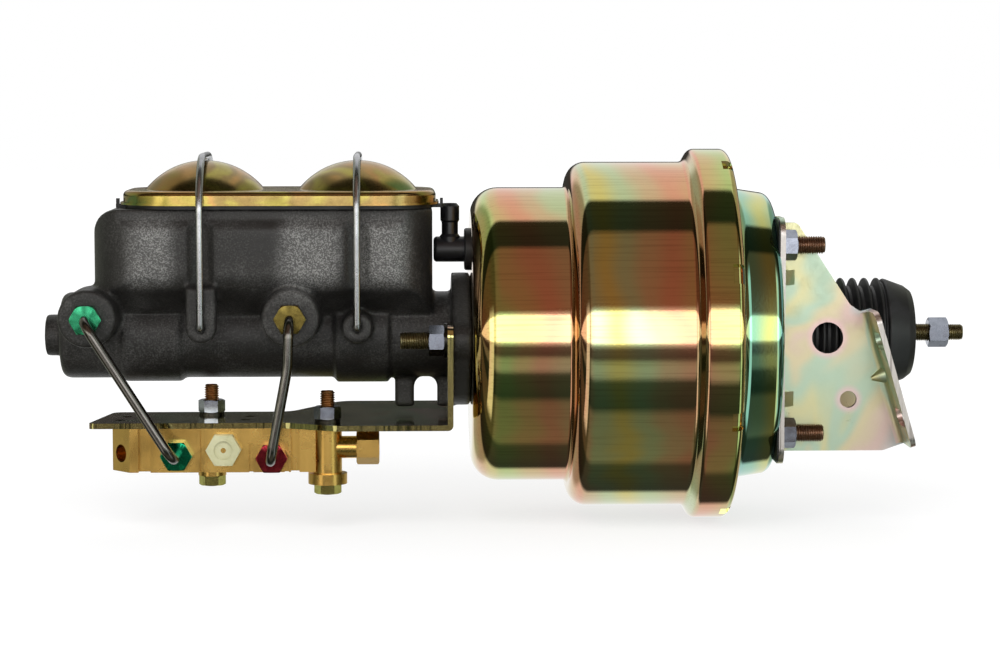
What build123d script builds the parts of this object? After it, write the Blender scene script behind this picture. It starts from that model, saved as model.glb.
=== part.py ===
from build123d import *
from math import cos, radians, sin, sqrt
import os

# Dual-diaphragm vacuum brake booster with a tandem master cylinder, a combination valve and
# a pair of firewall brackets. Millimetres. The booster's axis is the X axis, +X points
# rearwards to the firewall and the pedal, X = 0 is the booster's rear face, +Z is up, and the
# valve and the brake lines are on the -Y side.

os.makedirs("parts", exist_ok=True)

# Fits
RUN = 0.05  # radial clearance of a running fit
REST = 0.3  # space beside rubber that moves past another piece

# Booster shells
SHEET = 1.6
BOOSTER_LENGTH = 162.6
RIM_R = 101.6
RIM_STEP = 7.1
REAR_CHAMBER_R = RIM_R - RIM_STEP
CHAMBER_STEP = 13.9
FRONT_CHAMBER_R = REAR_CHAMBER_R - CHAMBER_STEP
FRONT_CHAMBER_LENGTH = 52.6
RIM_WIDTH = 20.0
RIM_SETBACK = 22.0
RIM_FLARE = 4.0
LIP_DEPTH = 8.0
NOSE_ROUND = 15.0
STEP_HOLLOW = 2.5
STEP_ROUND = 10.5
RIM_ROUND = 4.0
LANCE_COUNT = 8
LANCE_WIDTH = 11.0
LANCE_LENGTH = 4.2
REAR_WALL_R = RIM_R - 22.4
REAR_FACE_R = REAR_WALL_R - 3.6
REAR_HOLLOW = 8.0
REAR_CORNER = 4.0
NECK_R = 25.4
NECK_LENGTH = 20.0
NECK_ROUND = 2.0

# Studs, nuts and their 3/8 in thread
STUD_R = 4.76
STUD_HEAD_R = 6.0
STUD_HEAD = 4.0
NUT_FLATS = 14.3
NUT_HEIGHT = 8.3
JAM_NUT = 10.8
TUBE_NUT_FLATS = 15.0
WASHER_R = 9.5
WASHER = 1.6
FRONT_STUD_Y = 42.9
FRONT_STUD_END = 38.4
REAR_STUD_Y = 41.3
REAR_STUD_Z = 50.8
REAR_STUD_END = 27.0

# Divider, diaphragms and power piston
DIVIDER_SHEET = 1.2
RUBBER = 1.2
BEAD_GAP = 1.8
HUB_R = 21.0
HUB_NECK_R = 19.0
HUB_REAR_X = 46.0
HUB_FLANGE_R = 27.0
HUB_FLANGE = 4.0
FRONT_PLATE_R = FRONT_CHAMBER_R - 8.6
FRONT_PLATE_SET = 5.9
REAR_PLATE_R = REAR_CHAMBER_R - 10.5
PLATE_SHEET = 1.5
PLATE_RIM = 13.0
PLATE_ROUND = 6.0
ROLL_R = 2.1
FILTER_R = 15.0
FILTER_LENGTH = 26.0
PLUNGER_R = 9.0
PLUNGER_LENGTH = 34.0
DISC_R = 13.0
DISC_THICKNESS = 8.0
ROD_R = 4.76
ROD_TIP_R = ROD_R - 0.3
ROD_END_X = 110.5
OUTPUT_ROD_R = 6.0
POWER_STROKE = 30.0
VALVE_STROKE = 2.0
SPRING_WIRE_R = 1.8
SPRING_TURNS = 4

# Boot
BOOT_R = 30.3
BOOT_VALLEY = 3.2
BOOT_PITCH = 6.6
BOOT_RIBS = 9
BOOT_START_X = 5.0
BOOT_END_X = 80.7
BOOT_END_R = 24.7
BOOT_WALL = 1.7

# Check valve
CHECK_Z = 46.7
CHECK_R = 7.0
CHECK_REACH = 20.0
GROMMET_R = 11.6
GROMMET_FACE = 3.2
NIPPLE_R = 4.5
BARB_R = 5.2
NIPPLE_OFFSET = 11.0
NIPPLE_TOP_Z = 72.0

# Master cylinder casting
BARREL_R = 23.5
BARREL_LENGTH = 223.4
NOSE_R = 11.3
NOSE_LENGTH = 8.7
FLANGE_THICKNESS = 10.3
FLANGE_R = 36.5
EAR_R = 12.5
PILOT_R = 17.0
PILOT_LENGTH = 10.0
CYLINDER_BORE_R = 14.3
BORE_END_WALL = 12.0
TANK_TOP_Z = 70.4
TANK_BULGE_Z = 60.0
TANK_LOW_Z = 30.0
TANK_FLOOR_Z = 12.0
TANK_FRONT_X = -366.0
TANK_REAR_X = -183.4
TANK_SHOULDER = 14.5
TANK_HALF = 44.0
TANK_NECK_HALF = 41.0
TANK_WALL = 5.5
WELL_FLOOR_Z = 30.0
WELL_SPLIT_X = -266.0
FRONT_BAIL_X = -307.3
REAR_BAIL_X = -224.0
PIVOT_Z = 7.0
LUG_FACE_Y = 46.6
LUG_THICKNESS = 5.2
LUG_DEPTH = 12.6
LUG_TOP = 22.0
LUG_R = 8.2
PORT_BOSS_R = 15.6
PORT_BOSS_Y = 51.0
PORT_Z = 12.7
FRONT_PORT_X = -367.3
REAR_PORT_X = -259.5
WEB_HALF = 6.0
WEB_BOTTOM_Z = -39.8

# Cover, gasket and bails
GASKET = 2.0
COVER_LENGTH = 169.0
COVER_REAR_X = -181.5
COVER_HALF = 44.6
COVER_CORNER = 30.0
COVER_RIM = 7.6
COVER_LIP = 1.6
COVER_SHEET = 1.2
DOME_R = 32.4
DOME_RISE = 15.6
WIRE_R = 2.0
BAIL_HALF = 49.4
BAIL_ROUND = 30.0
HOOK_ROUND = 4.0
TAB_HALF = 3.0
END_TAB_Y = -14.0

# Pistons in the master cylinder
PRIMARY_LENGTH = 76.0
SECONDARY_LENGTH = 60.0
PRIMARY_SPRING = 34.0
PISTON_SET = 16.0
PISTON_WAIST = 3.4
LAND = 7.0
CUP = 3.6
RING_WIRE = 1.2

# Brake lines and their nuts
TUBE_R = 2.7
TUBE_WALL = 0.7
TUBE_PLANE_Y = 70.0
TUBE_BEND = 9.0
PORT_DEPTH = 12.0
PORT_R = 5.2
SEAT = 4.0
TUBE_NUT_HEAD = 8.0
LOW_FRONT_X = -320.7
LOW_FRONT_Z = -60.9
LOW_REAR_X = -269.9
LOW_REAR_Z = -62.3
LOW_NUT_HEAD = 6.5
LINE_KINK_Z = -12.0

# Valve bracket
BRACKET_SHEET = 3.0
BRACKET_TOP_Z = -43.7
BRACKET_FRONT_X = -368.0
BRACKET_NARROW_X = -262.0
BRACKET_FLARE = 27.0
BRACKET_HALF = 60.0
BRACKET_EDGE_Y = -45.0
BRACKET_BACK_Y = 8.0
BRACKET_RISE_Z = 9.0
BRACKET_NOTCH_R = 27.5

# Combination valve
VALVE_FRONT_Y = -45.0
VALVE_DEPTH = 24.0
VALVE_HEIGHT = 23.6
VALVE_LEFT_X = -356.0
VALVE_RIGHT_X = -246.5
VALVE_SLOPE = 10.1
VALVE_BORE_R = 5.6
VALVE_BORE_Z = -57.5
BOLT_R = 3.97
BOLT_FLATS = 12.7
BOLT_HEAD = 5.5
BOLT_TOP_Z = -27.0
RIGHT_BOLT_X = -240.2
RIGHT_BOLT_Y = -40.0
LEFT_BOLT_X = -304.5
LEFT_BOLT_Y = -5.0
BOSS_R = 7.7
BOSS_FOOT_R = 10.5
BOSS_FOOT = 5.7
FITTING_FLATS = 16.4
FITTING_LENGTH = 12.3
FITTING_NECK = 7.8
FITTING_NECK_R = 6.0
SWITCH_X = -295.5
SHUTTLE_LENGTH = 44.0
SHUTTLE_LAND = 5.0
SWITCH_Z = -57.7
SWITCH_HEIGHT = 7.0
SWITCH_FLATS = 16.4
TERMINAL_R = 1.4

# Firewall brackets
WALL_SHEET = 2.8
WALL_FACE_X = 0.8
WEB_IN_Y = 31.0
WALL_OUT_Y = 60.0
WALL_HALF_Z = 66.0
WEB_TOP_Z = 62.5
WEB_FOOT_Z = -61.5
SLOPE_TOP_X = 54.0
SLOPE_TOP_Z = 15.8
SLOPE_BOTTOM_X = 75.0
SLOPE_BOTTOM_Z = -56.7
SLOT_LENGTH = 21.0
SLOT_WIDTH = 10.0
SLOT_SPACING = 43.0
DIMPLE = 8.5
DIMPLE_HALF = 4.0
WEB_HOLE_RISE = 28.0

# Places that follow from the sizes above
FRONT_X = -BOOSTER_LENGTH
STEP_X = FRONT_X + FRONT_CHAMBER_LENGTH
RIM_REAR_X = -RIM_SETBACK
RIM_FRONT_X = RIM_REAR_X - RIM_WIDTH
REAR_FLANGE_X = RIM_REAR_X - SHEET
FLANGE_EDGE_R = RIM_R - RIM_ROUND
DIVIDER_R = REAR_CHAMBER_R - SHEET - 4 * RUN
DIVIDER_X = STEP_X + SHEET + BEAD_GAP
DIVIDER_FLANGE_X = RIM_FRONT_X + SHEET + 4 * REST
FRONT_PLATE_X = DIVIDER_X - FRONT_PLATE_SET
REAR_PLATE_X = REAR_FLANGE_X - SHEET - RUBBER - 2 * REST
PILOT_END_X = FRONT_X + PILOT_LENGTH
FLANGE_FACE_X = FRONT_X - FLANGE_THICKNESS
BARREL_FRONT_X = FRONT_X - BARREL_LENGTH
PLATE_FACE_X = FLANGE_FACE_X - BRACKET_SHEET
BORE_END_X = BARREL_FRONT_X + BORE_END_WALL
BRACKET_BOTTOM_Z = BRACKET_TOP_Z - BRACKET_SHEET
VALVE_BOTTOM_Z = BRACKET_BOTTOM_Z - VALVE_HEIGHT
COVER_FRONT_X = COVER_REAR_X - COVER_LENGTH
COVER_BOTTOM_Z = TANK_TOP_Z + GASKET
COVER_TOP_Z = COVER_BOTTOM_Z + COVER_RIM
BAIL_TOP_Z = COVER_TOP_Z + DOME_RISE + WIRE_R + REST
ROD_REAR_X = HUB_REAR_X - FILTER_LENGTH - 14.0
PRIMARY_REAR_X = PILOT_END_X - PISTON_SET
PRIMARY_FRONT_X = PRIMARY_REAR_X - PRIMARY_LENGTH
SECONDARY_REAR_X = PRIMARY_FRONT_X - PRIMARY_SPRING
SECONDARY_FRONT_X = SECONDARY_REAR_X - SECONDARY_LENGTH


def axial(x, y=0.0, z=0.0):
    """Plane that faces rearwards at a point, with its own X axis upwards."""
    return Plane(origin=(x, y, z), x_dir=(0, 0, 1), z_dir=(1, 0, 0))


def sideways(y, x=0.0, z=0.0):
    """Plane that faces the valve side at a point, with its own X axis rearwards."""
    return Plane(origin=(x, y, z), x_dir=(1, 0, 0), z_dir=(0, -1, 0))


def hex_prism(flats, height, bore_r):
    """Hexagon across the given flats, with a bore, its corners turned off at both ends."""
    flat_r = flats / 2
    corner_r = flat_r / cos(radians(30))
    turned = corner_r - flat_r
    with BuildPart() as prism:
        with BuildSketch():
            RegularPolygon(radius=flat_r, side_count=6, major_radius=False)
            if bore_r > 0:
                Circle(bore_r, mode=Mode.SUBTRACT)
        extrude(amount=height)
        with BuildSketch(Plane.XZ):
            with BuildLine():
                Polyline(
                    (0, 0), (flat_r, 0), (corner_r, turned / 2), (corner_r, height - turned / 2),
                    (flat_r, height), (0, height), (0, 0),
                )
            make_face()
        revolve(axis=Axis.Z, mode=Mode.INTERSECT)
    return prism.part


def coil(start_x, end_x, mean_r, wire_r, turns):
    """Compression spring about the booster's axis between two seats."""
    rise = end_x - start_x - 2 * wire_r
    with BuildPart() as spring:
        with BuildLine() as route:
            Helix(
                pitch=rise / turns, height=rise, radius=mean_r,
                center=(start_x + wire_r, 0, 0), direction=(1, 0, 0),
            )
        with BuildSketch(Plane(origin=route.line @ 0, z_dir=route.line % 0)):
            Circle(wire_r)
        sweep(is_frenet=True)
    return spring.part


def bent_tube(points, bends):
    """Brake line through the points, bent to the given radii."""
    with BuildPart() as tube:
        with BuildLine() as route:
            FilletPolyline(*points, radius=bends)
        with BuildSketch(Plane(origin=route.line @ 0, z_dir=route.line % 0)):
            Circle(TUBE_R)
            Circle(TUBE_R - TUBE_WALL, mode=Mode.SUBTRACT)
        sweep()
    return tube.part


# Front shell: one drawn stamping with a step, flared at the rear to the rim band
front_stud_points = [(0, FRONT_STUD_Y), (0, -FRONT_STUD_Y)]
with BuildPart() as front_shell:
    with BuildSketch(Plane.XZ):
        with BuildLine():
            FilletPolyline(
                (FRONT_X, PILOT_R + 1.2),
                (FRONT_X, FRONT_CHAMBER_R),
                (STEP_X, FRONT_CHAMBER_R),
                (STEP_X, REAR_CHAMBER_R),
                (RIM_FRONT_X - RIM_FLARE, REAR_CHAMBER_R),
                (RIM_FRONT_X, RIM_R),
                (RIM_REAR_X, RIM_R),
                (RIM_REAR_X, RIM_R - LIP_DEPTH),
                radius=[NOSE_ROUND, STEP_HOLLOW, STEP_ROUND, RIM_ROUND, RIM_ROUND, RIM_ROUND],
            )
            offset(amount=SHEET, side=Side.RIGHT)
        make_face()
    revolve(axis=Axis.X)
    with BuildSketch(axial(FRONT_X)):
        with Locations(*front_stud_points):
            Circle(STUD_R + RUN)
        with Locations((CHECK_Z, 0)):
            Circle(CHECK_R + 1.0 + RUN)
    extrude(amount=SHEET, mode=Mode.SUBTRACT)
    # The rim's corner is lanced and pressed in to hold the rear shell.
    with BuildSketch(axial(RIM_REAR_X - LANCE_LENGTH)):
        with PolarLocations(RIM_R, LANCE_COUNT, start_angle=180 / LANCE_COUNT):
            Rectangle(2 * SHEET + RIM_ROUND / 2, LANCE_WIDTH)
    extrude(amount=LANCE_LENGTH, mode=Mode.SUBTRACT)
front_shell.part.label = "front_shell"

# Rear shell: flange under the rim's lip, hollow, tapered wall, flat face and rear neck
rear_stud_points = [(z, y) for y in (REAR_STUD_Y, -REAR_STUD_Y) for z in (REAR_STUD_Z, -REAR_STUD_Z)]
with BuildPart() as rear_shell:
    with BuildSketch(Plane.XZ):
        with BuildLine():
            FilletPolyline(
                (REAR_FLANGE_X, FLANGE_EDGE_R),
                (REAR_FLANGE_X, REAR_WALL_R),
                (0, REAR_FACE_R),
                (0, NECK_R),
                (NECK_LENGTH, NECK_R),
                radius=[REAR_HOLLOW, REAR_CORNER, NECK_ROUND],
            )
            offset(amount=SHEET, side=Side.RIGHT)
        make_face()
    revolve(axis=Axis.X)
    with BuildSketch(axial(-SHEET)):
        with Locations(*rear_stud_points):
            Circle(STUD_R + RUN)
    extrude(amount=SHEET, mode=Mode.SUBTRACT)
rear_shell.part.label = "rear_shell"

# Divider plate between the two vacuum chambers, dished rearwards to the rim
with BuildPart() as divider_plate:
    with BuildSketch(Plane.XZ):
        with BuildLine():
            FilletPolyline(
                (DIVIDER_X, HUB_R + 3.5),
                (DIVIDER_X, DIVIDER_R),
                (DIVIDER_FLANGE_X, DIVIDER_R),
                (DIVIDER_FLANGE_X, FLANGE_EDGE_R),
                radius=[STEP_ROUND - SHEET, RIM_ROUND / 2],
            )
            offset(amount=DIVIDER_SHEET, side=Side.RIGHT)
        make_face()
    revolve(axis=Axis.X)
divider_plate.part.label = "divider_plate"

# Divider seal: grooved ring that grips the divider's hole and slides on the hub
with BuildPart() as divider_seal:
    with BuildSketch(Plane.XZ):
        with Locations((DIVIDER_X + DIVIDER_SHEET / 2, HUB_R + RUN)):
            Rectangle(6.0, 6.5, align=(Align.CENTER, Align.MIN))
        with Locations((DIVIDER_X, HUB_R + 3.5)):
            Rectangle(DIVIDER_SHEET, 6.0, align=(Align.MIN, Align.MIN), mode=Mode.SUBTRACT)
    revolve(axis=Axis.X)
divider_seal.part.label = "divider_seal"

# Front seal round the cylinder's pilot, inside the front shell
with BuildPart() as front_seal:
    with BuildSketch(Plane.XZ):
        with BuildLine():
            Polyline(
                (FRONT_X + SHEET, PILOT_R + RUN), (FRONT_X + SHEET, PILOT_R + 6.0),
                (FRONT_X + SHEET + 2.5, PILOT_R + 6.0), (FRONT_X + SHEET + 6.5, PILOT_R + 2.5),
                (FRONT_X + SHEET + 6.5, PILOT_R + RUN), (FRONT_X + SHEET, PILOT_R + RUN),
            )
        make_face()
    revolve(axis=Axis.X)
front_seal.part.label = "front_seal"

# Rear seal between the rear neck and the hub
with BuildPart() as rear_seal:
    with BuildSketch(Plane.XZ):
        with Locations((2.0, HUB_NECK_R + RUN)):
            Rectangle(
                NECK_LENGTH - 4.0, NECK_R - SHEET - HUB_NECK_R - 2 * RUN,
                align=(Align.MIN, Align.MIN),
            )
        with Locations((2.0 + (NECK_LENGTH - 4.0) / 2, HUB_NECK_R + RUN)):
            Rectangle(6.0, 3.0, mode=Mode.SUBTRACT)
    revolve(axis=Axis.X)
rear_seal.part.label = "rear_seal"

# Front studs: heads inside the shell, threads through the cylinder's flange
with BuildPart() as front_studs:
    with Locations(*[axial(FRONT_X + SHEET, y) for y in (FRONT_STUD_Y, -FRONT_STUD_Y)]):
        Cylinder(STUD_HEAD_R + 2.0, STUD_HEAD, align=(Align.CENTER, Align.CENTER, Align.MIN))
        Cylinder(STUD_R, FRONT_STUD_END + SHEET, align=(Align.CENTER, Align.CENTER, Align.MAX))
    chamfer(front_studs.edges().group_by(Axis.X)[0], length=1.0)
front_studs.part.label = "front_studs"

# Rear studs: heads inside the shell, threads through the firewall brackets
rear_stud_places = [(y, z) for y in (REAR_STUD_Y, -REAR_STUD_Y) for z in (REAR_STUD_Z, -REAR_STUD_Z)]
with BuildPart() as rear_studs:
    with Locations(*[axial(-SHEET, y, z) for y, z in rear_stud_places]):
        Cylinder(STUD_HEAD_R, STUD_HEAD, align=(Align.CENTER, Align.CENTER, Align.MAX))
        Cylinder(STUD_R, REAR_STUD_END + SHEET, align=(Align.CENTER, Align.CENTER, Align.MIN))
    chamfer(rear_studs.edges().group_by(Axis.X)[-1], length=1.0)
rear_studs.part.label = "rear_studs"

# Rear gasket between the shell and the brackets
with BuildPart() as rear_gasket:
    with BuildSketch(axial(0)):
        RectangleRounded(2 * WALL_HALF_Z - 2, 2 * WALL_OUT_Y - 2, 6)
        Circle(NECK_R + NECK_ROUND + REST, mode=Mode.SUBTRACT)
        with Locations(*rear_stud_points):
            Circle(STUD_R + RUN, mode=Mode.SUBTRACT)
    extrude(amount=WALL_FACE_X)
rear_gasket.part.label = "rear_gasket"

# Check-valve grommet: rubber, gripped in the front shell's upper hole
check_hole_r = CHECK_R + 1.0
with BuildPart() as check_valve_grommet:
    with Locations(axial(FRONT_X - GROMMET_FACE, 0, CHECK_Z)):
        Cylinder(GROMMET_R, GROMMET_FACE, align=(Align.CENTER, Align.CENTER, Align.MIN))
    fillet(check_valve_grommet.edges().group_by(Axis.X)[0], radius=1.2)
    with Locations(axial(FRONT_X, 0, CHECK_Z)):
        Cylinder(check_hole_r, SHEET, align=(Align.CENTER, Align.CENTER, Align.MIN))
    with Locations(axial(FRONT_X + SHEET, 0, CHECK_Z)):
        Cone(check_hole_r + 2.0, check_hole_r, 3.5, align=(Align.CENTER, Align.CENTER, Align.MIN))
    with Locations(axial(FRONT_X, 0, CHECK_Z)):
        Hole(CHECK_R - 1.0 + RUN)
check_valve_grommet.part.label = "check_valve_grommet"

# Check-valve body: elbow with a barbed nipple upwards and a seat for the disc
elbow_x = FRONT_X - NIPPLE_OFFSET
elbow_front_x = FRONT_X - CHECK_REACH
seat_x = FRONT_X - GROMMET_FACE
passage_r = 4.5
with BuildPart() as check_valve_body:
    with Locations(axial(elbow_front_x, 0, CHECK_Z)):
        Cylinder(CHECK_R, seat_x - elbow_front_x, align=(Align.CENTER, Align.CENTER, Align.MIN))
    fillet(check_valve_body.edges().group_by(Axis.X)[0], radius=2.0)
    with Locations(axial(seat_x, 0, CHECK_Z)):
        Cylinder(CHECK_R - 1.0, GROMMET_FACE + SHEET + 4.0, align=(Align.CENTER, Align.CENTER, Align.MIN))
    with BuildSketch(Plane.XZ.shift_origin((elbow_x, 0, CHECK_Z))):
        with BuildLine():
            barb_z = NIPPLE_TOP_Z - CHECK_Z
            Polyline(
                (0, 0), (NIPPLE_R + 1.2, 0), (NIPPLE_R + 1.2, CHECK_R), (NIPPLE_R, CHECK_R + 1.5),
                (NIPPLE_R, barb_z - 10.5), (BARB_R, barb_z - 9.3), (BARB_R, barb_z - 1.6),
                (NIPPLE_R - 0.8, barb_z), (0, barb_z), (0, 0),
            )
        make_face()
    revolve(axis=Axis((elbow_x, 0, CHECK_Z), (0, 0, 1)))
    with Locations(axial(elbow_front_x + 3.0, 0, CHECK_Z)):
        Cylinder(passage_r, CHECK_REACH + SHEET + 4.0, align=(Align.CENTER, Align.CENTER, Align.MIN),
                 mode=Mode.SUBTRACT)
    with Locations((elbow_x, 0, CHECK_Z)):
        Cylinder(NIPPLE_R - 1.9, barb_z, align=(Align.CENTER, Align.CENTER, Align.MIN),
                 mode=Mode.SUBTRACT)
    # Seat for the disc
    with BuildSketch(axial(seat_x, 0, CHECK_Z)):
        Circle(passage_r + 0.3)
        Circle(passage_r - 1.6, mode=Mode.SUBTRACT)
    extrude(amount=1.5)
check_valve_body.part.label = "check_valve_body"

with BuildPart() as check_valve_disc:
    with Locations(axial(seat_x, 0, CHECK_Z)):
        Cylinder(passage_r - 2 * RUN, 1.6, align=(Align.CENTER, Align.CENTER, Align.MAX))
        Cylinder(passage_r - 2.6, 3.0, align=(Align.CENTER, Align.CENTER, Align.MIN))
check_valve_disc.part.label = "check_valve_disc"

# Power piston hub: flange for the front plate, neck through the rear seal
with BuildPart() as power_piston_hub:
    with BuildSketch(Plane.XZ):
        with BuildLine():
            Polyline(
                (FRONT_PLATE_X - PLATE_SHEET - HUB_FLANGE, 0),
                (FRONT_PLATE_X - PLATE_SHEET - HUB_FLANGE, HUB_FLANGE_R),
                (FRONT_PLATE_X - PLATE_SHEET, HUB_FLANGE_R),
                (FRONT_PLATE_X - PLATE_SHEET, HUB_R),
                (REAR_PLATE_X, HUB_R),
                (REAR_PLATE_X, HUB_NECK_R),
                (HUB_REAR_X, HUB_NECK_R),
                (HUB_REAR_X, 0),
                (FRONT_PLATE_X - PLATE_SHEET - HUB_FLANGE, 0),
            )
        make_face()
    revolve(axis=Axis.X)
    with Locations(axial(HUB_REAR_X)):
        Cylinder(FILTER_R, FILTER_LENGTH + 22.0, align=(Align.CENTER, Align.CENTER, Align.MAX),
                 mode=Mode.SUBTRACT)
    hub_face_x = FRONT_PLATE_X - PLATE_SHEET - HUB_FLANGE
    with Locations(axial(hub_face_x)):
        Cylinder(DISC_R + RUN, DISC_THICKNESS + 3.0, align=(Align.CENTER, Align.CENTER, Align.MIN),
                 mode=Mode.SUBTRACT)
        Cylinder(PLUNGER_R + RUN, HUB_REAR_X - hub_face_x, align=(Align.CENTER, Align.CENTER, Align.MIN),
                 mode=Mode.SUBTRACT)
    # Air and vacuum passages beside the plunger
    with Locations(*[axial(HUB_REAR_X - FILTER_LENGTH - 22.0, 0, z) for z in (12.5, -12.5)]):
        Cylinder(2.2, 30.0, align=(Align.CENTER, Align.CENTER, Align.MAX), mode=Mode.SUBTRACT)
power_piston_hub.part.label = "power_piston_hub"

# Diaphragm plates: dished sheet, fast on the hub
plate_data = {
    "front_diaphragm_plate": (FRONT_PLATE_X, FRONT_PLATE_R),
    "rear_diaphragm_plate": (REAR_PLATE_X, REAR_PLATE_R),
}
for name, (plate_x, plate_r) in plate_data.items():
    with BuildPart() as diaphragm_plate:
        with BuildSketch(Plane.XZ):
            with BuildLine():
                FilletPolyline(
                    (plate_x, HUB_R), (plate_x, plate_r), (plate_x - PLATE_RIM, plate_r),
                    radius=PLATE_ROUND,
                )
                offset(amount=PLATE_SHEET, side=Side.LEFT)
            make_face()
        revolve(axis=Axis.X)
    diaphragm_plate.part.label = name
    export_step(diaphragm_plate.part, "parts/" + name + ".step")

# Rolling diaphragms: flat over the plate, a roll at its edge, and a bead at the shell
front_wall_r = FRONT_CHAMBER_R - SHEET - REST - RUBBER
with BuildPart() as front_diaphragm:
    with BuildSketch(Plane.XZ):
        with BuildLine():
            FilletPolyline(
                (FRONT_PLATE_X + REST + RUBBER, HUB_R + REST),
                (FRONT_PLATE_X + REST + RUBBER, FRONT_PLATE_R + REST + RUBBER),
                (FRONT_PLATE_X - PLATE_RIM, FRONT_PLATE_R + REST + RUBBER),
                (FRONT_PLATE_X - PLATE_RIM, front_wall_r),
                (DIVIDER_X - REST, front_wall_r),
                (DIVIDER_X - REST, REAR_CHAMBER_R - STEP_ROUND),
                radius=[PLATE_ROUND + REST + RUBBER, ROLL_R, ROLL_R, STEP_HOLLOW + SHEET],
            )
            offset(amount=RUBBER, side=Side.LEFT)
        make_face()
    revolve(axis=Axis.X)
front_diaphragm.part.label = "front_diaphragm"

rear_wall_r = DIVIDER_R - DIVIDER_SHEET - REST - RUBBER
with BuildPart() as rear_diaphragm:
    with BuildSketch(Plane.XZ):
        with BuildLine():
            FilletPolyline(
                (REAR_PLATE_X + REST + RUBBER, HUB_NECK_R + REST),
                (REAR_PLATE_X + REST + RUBBER, REAR_PLATE_R + REST + RUBBER),
                (REAR_PLATE_X - PLATE_RIM, REAR_PLATE_R + REST + RUBBER),
                (REAR_PLATE_X - PLATE_RIM, rear_wall_r),
                (REAR_FLANGE_X - SHEET - 4.0, rear_wall_r),
                (REAR_FLANGE_X - SHEET - 4.0, FLANGE_EDGE_R - RUBBER),
                radius=[PLATE_ROUND + REST + RUBBER, ROLL_R, ROLL_R, ROLL_R],
            )
            offset(amount=RUBBER, side=Side.LEFT)
        make_face()
        bead_front_x = DIVIDER_FLANGE_X + DIVIDER_SHEET + 2 * RUN
        bead_rear_x = REAR_FLANGE_X - SHEET - 2 * RUN
        with Locations(((bead_front_x + bead_rear_x) / 2, FLANGE_EDGE_R - REST)):
            Rectangle(bead_rear_x - bead_front_x, 4.5, align=(Align.CENTER, Align.MAX))
    revolve(axis=Axis.X)
rear_diaphragm.part.label = "rear_diaphragm"

# Reaction disc and output rod in the front of the hub
with BuildPart() as reaction_disc:
    with Locations(axial(hub_face_x + 3.0)):
        Cylinder(DISC_R, DISC_THICKNESS, align=(Align.CENTER, Align.CENTER, Align.MIN))
reaction_disc.part.label = "reaction_disc"

rod_tip_x = PRIMARY_REAR_X - 12.0
with BuildPart() as output_rod:
    with Locations(axial(hub_face_x + 3.0)):
        Cylinder(DISC_R, 6.0, align=(Align.CENTER, Align.CENTER, Align.MAX))
        Cylinder(OUTPUT_ROD_R, hub_face_x + 3.0 - rod_tip_x, align=(Align.CENTER, Align.CENTER, Align.MAX))
    fillet(output_rod.edges().group_by(Axis.X)[0], radius=OUTPUT_ROD_R * 0.6)
output_rod.part.label = "output_rod"

# Valve plunger, input rod with its ball, control poppet and filter
plunger_front_x = hub_face_x + 3.0 + DISC_THICKNESS + VALVE_STROKE + REST
ball_x = HUB_REAR_X - FILTER_LENGTH - 22.0
ball_r = 6.5
with BuildPart() as valve_plunger:
    with Locations(axial(plunger_front_x)):
        Cylinder(PLUNGER_R, ball_x + ball_r - plunger_front_x,
                 align=(Align.CENTER, Align.CENTER, Align.MIN))
    with Locations(axial(plunger_front_x + (ball_x - plunger_front_x) / 2)):
        Cylinder(PLUNGER_R + 1, 20.0, mode=Mode.SUBTRACT)
        Cylinder(PLUNGER_R - 3, 20.0)
    with Locations(axial(ball_x)):
        Sphere(ball_r + RUN, mode=Mode.SUBTRACT)
        Cylinder(ball_r + RUN, ball_r + 1, align=(Align.CENTER, Align.CENTER, Align.MIN),
                 mode=Mode.SUBTRACT)
valve_plunger.part.label = "valve_plunger"

jam_nut_x = BOOT_END_X + 10.5
with BuildPart() as input_rod:
    with Locations(axial(ball_x)):
        Sphere(ball_r)
        Cylinder(ROD_R, jam_nut_x + JAM_NUT - ball_x, align=(Align.CENTER, Align.CENTER, Align.MIN))
        Cylinder(ROD_TIP_R, ROD_END_X - ball_x, align=(Align.CENTER, Align.CENTER, Align.MIN))
    chamfer(input_rod.edges().group_by(Axis.X)[-1], length=1.0)
input_rod.part.label = "input_rod"

with BuildPart() as jam_nut:
    with Locations(axial(jam_nut_x)):
        add(hex_prism(NUT_FLATS, JAM_NUT, ROD_R + RUN))
jam_nut.part.label = "jam_nut"

with BuildPart() as control_poppet:
    with BuildSketch(axial(ball_x + ball_r + 3.0)):
        Circle(FILTER_R - RUN)
        Circle(ROD_R + 3.0, mode=Mode.SUBTRACT)
    extrude(amount=5.0)
control_poppet.part.label = "control_poppet"

with BuildPart() as air_filter:
    with BuildSketch(axial(HUB_REAR_X)):
        Circle(FILTER_R - RUN)
        Circle(ROD_R + 2.0, mode=Mode.SUBTRACT)
    extrude(amount=-FILTER_LENGTH / 2)
air_filter.part.label = "air_filter"

# Return spring between the front shell and the hub
with BuildPart() as return_spring:
    add(coil(FRONT_X + SHEET + REST, hub_face_x - REST, HUB_FLANGE_R - 2.0, SPRING_WIRE_R, SPRING_TURNS))
return_spring.part.label = "return_spring"

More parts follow.
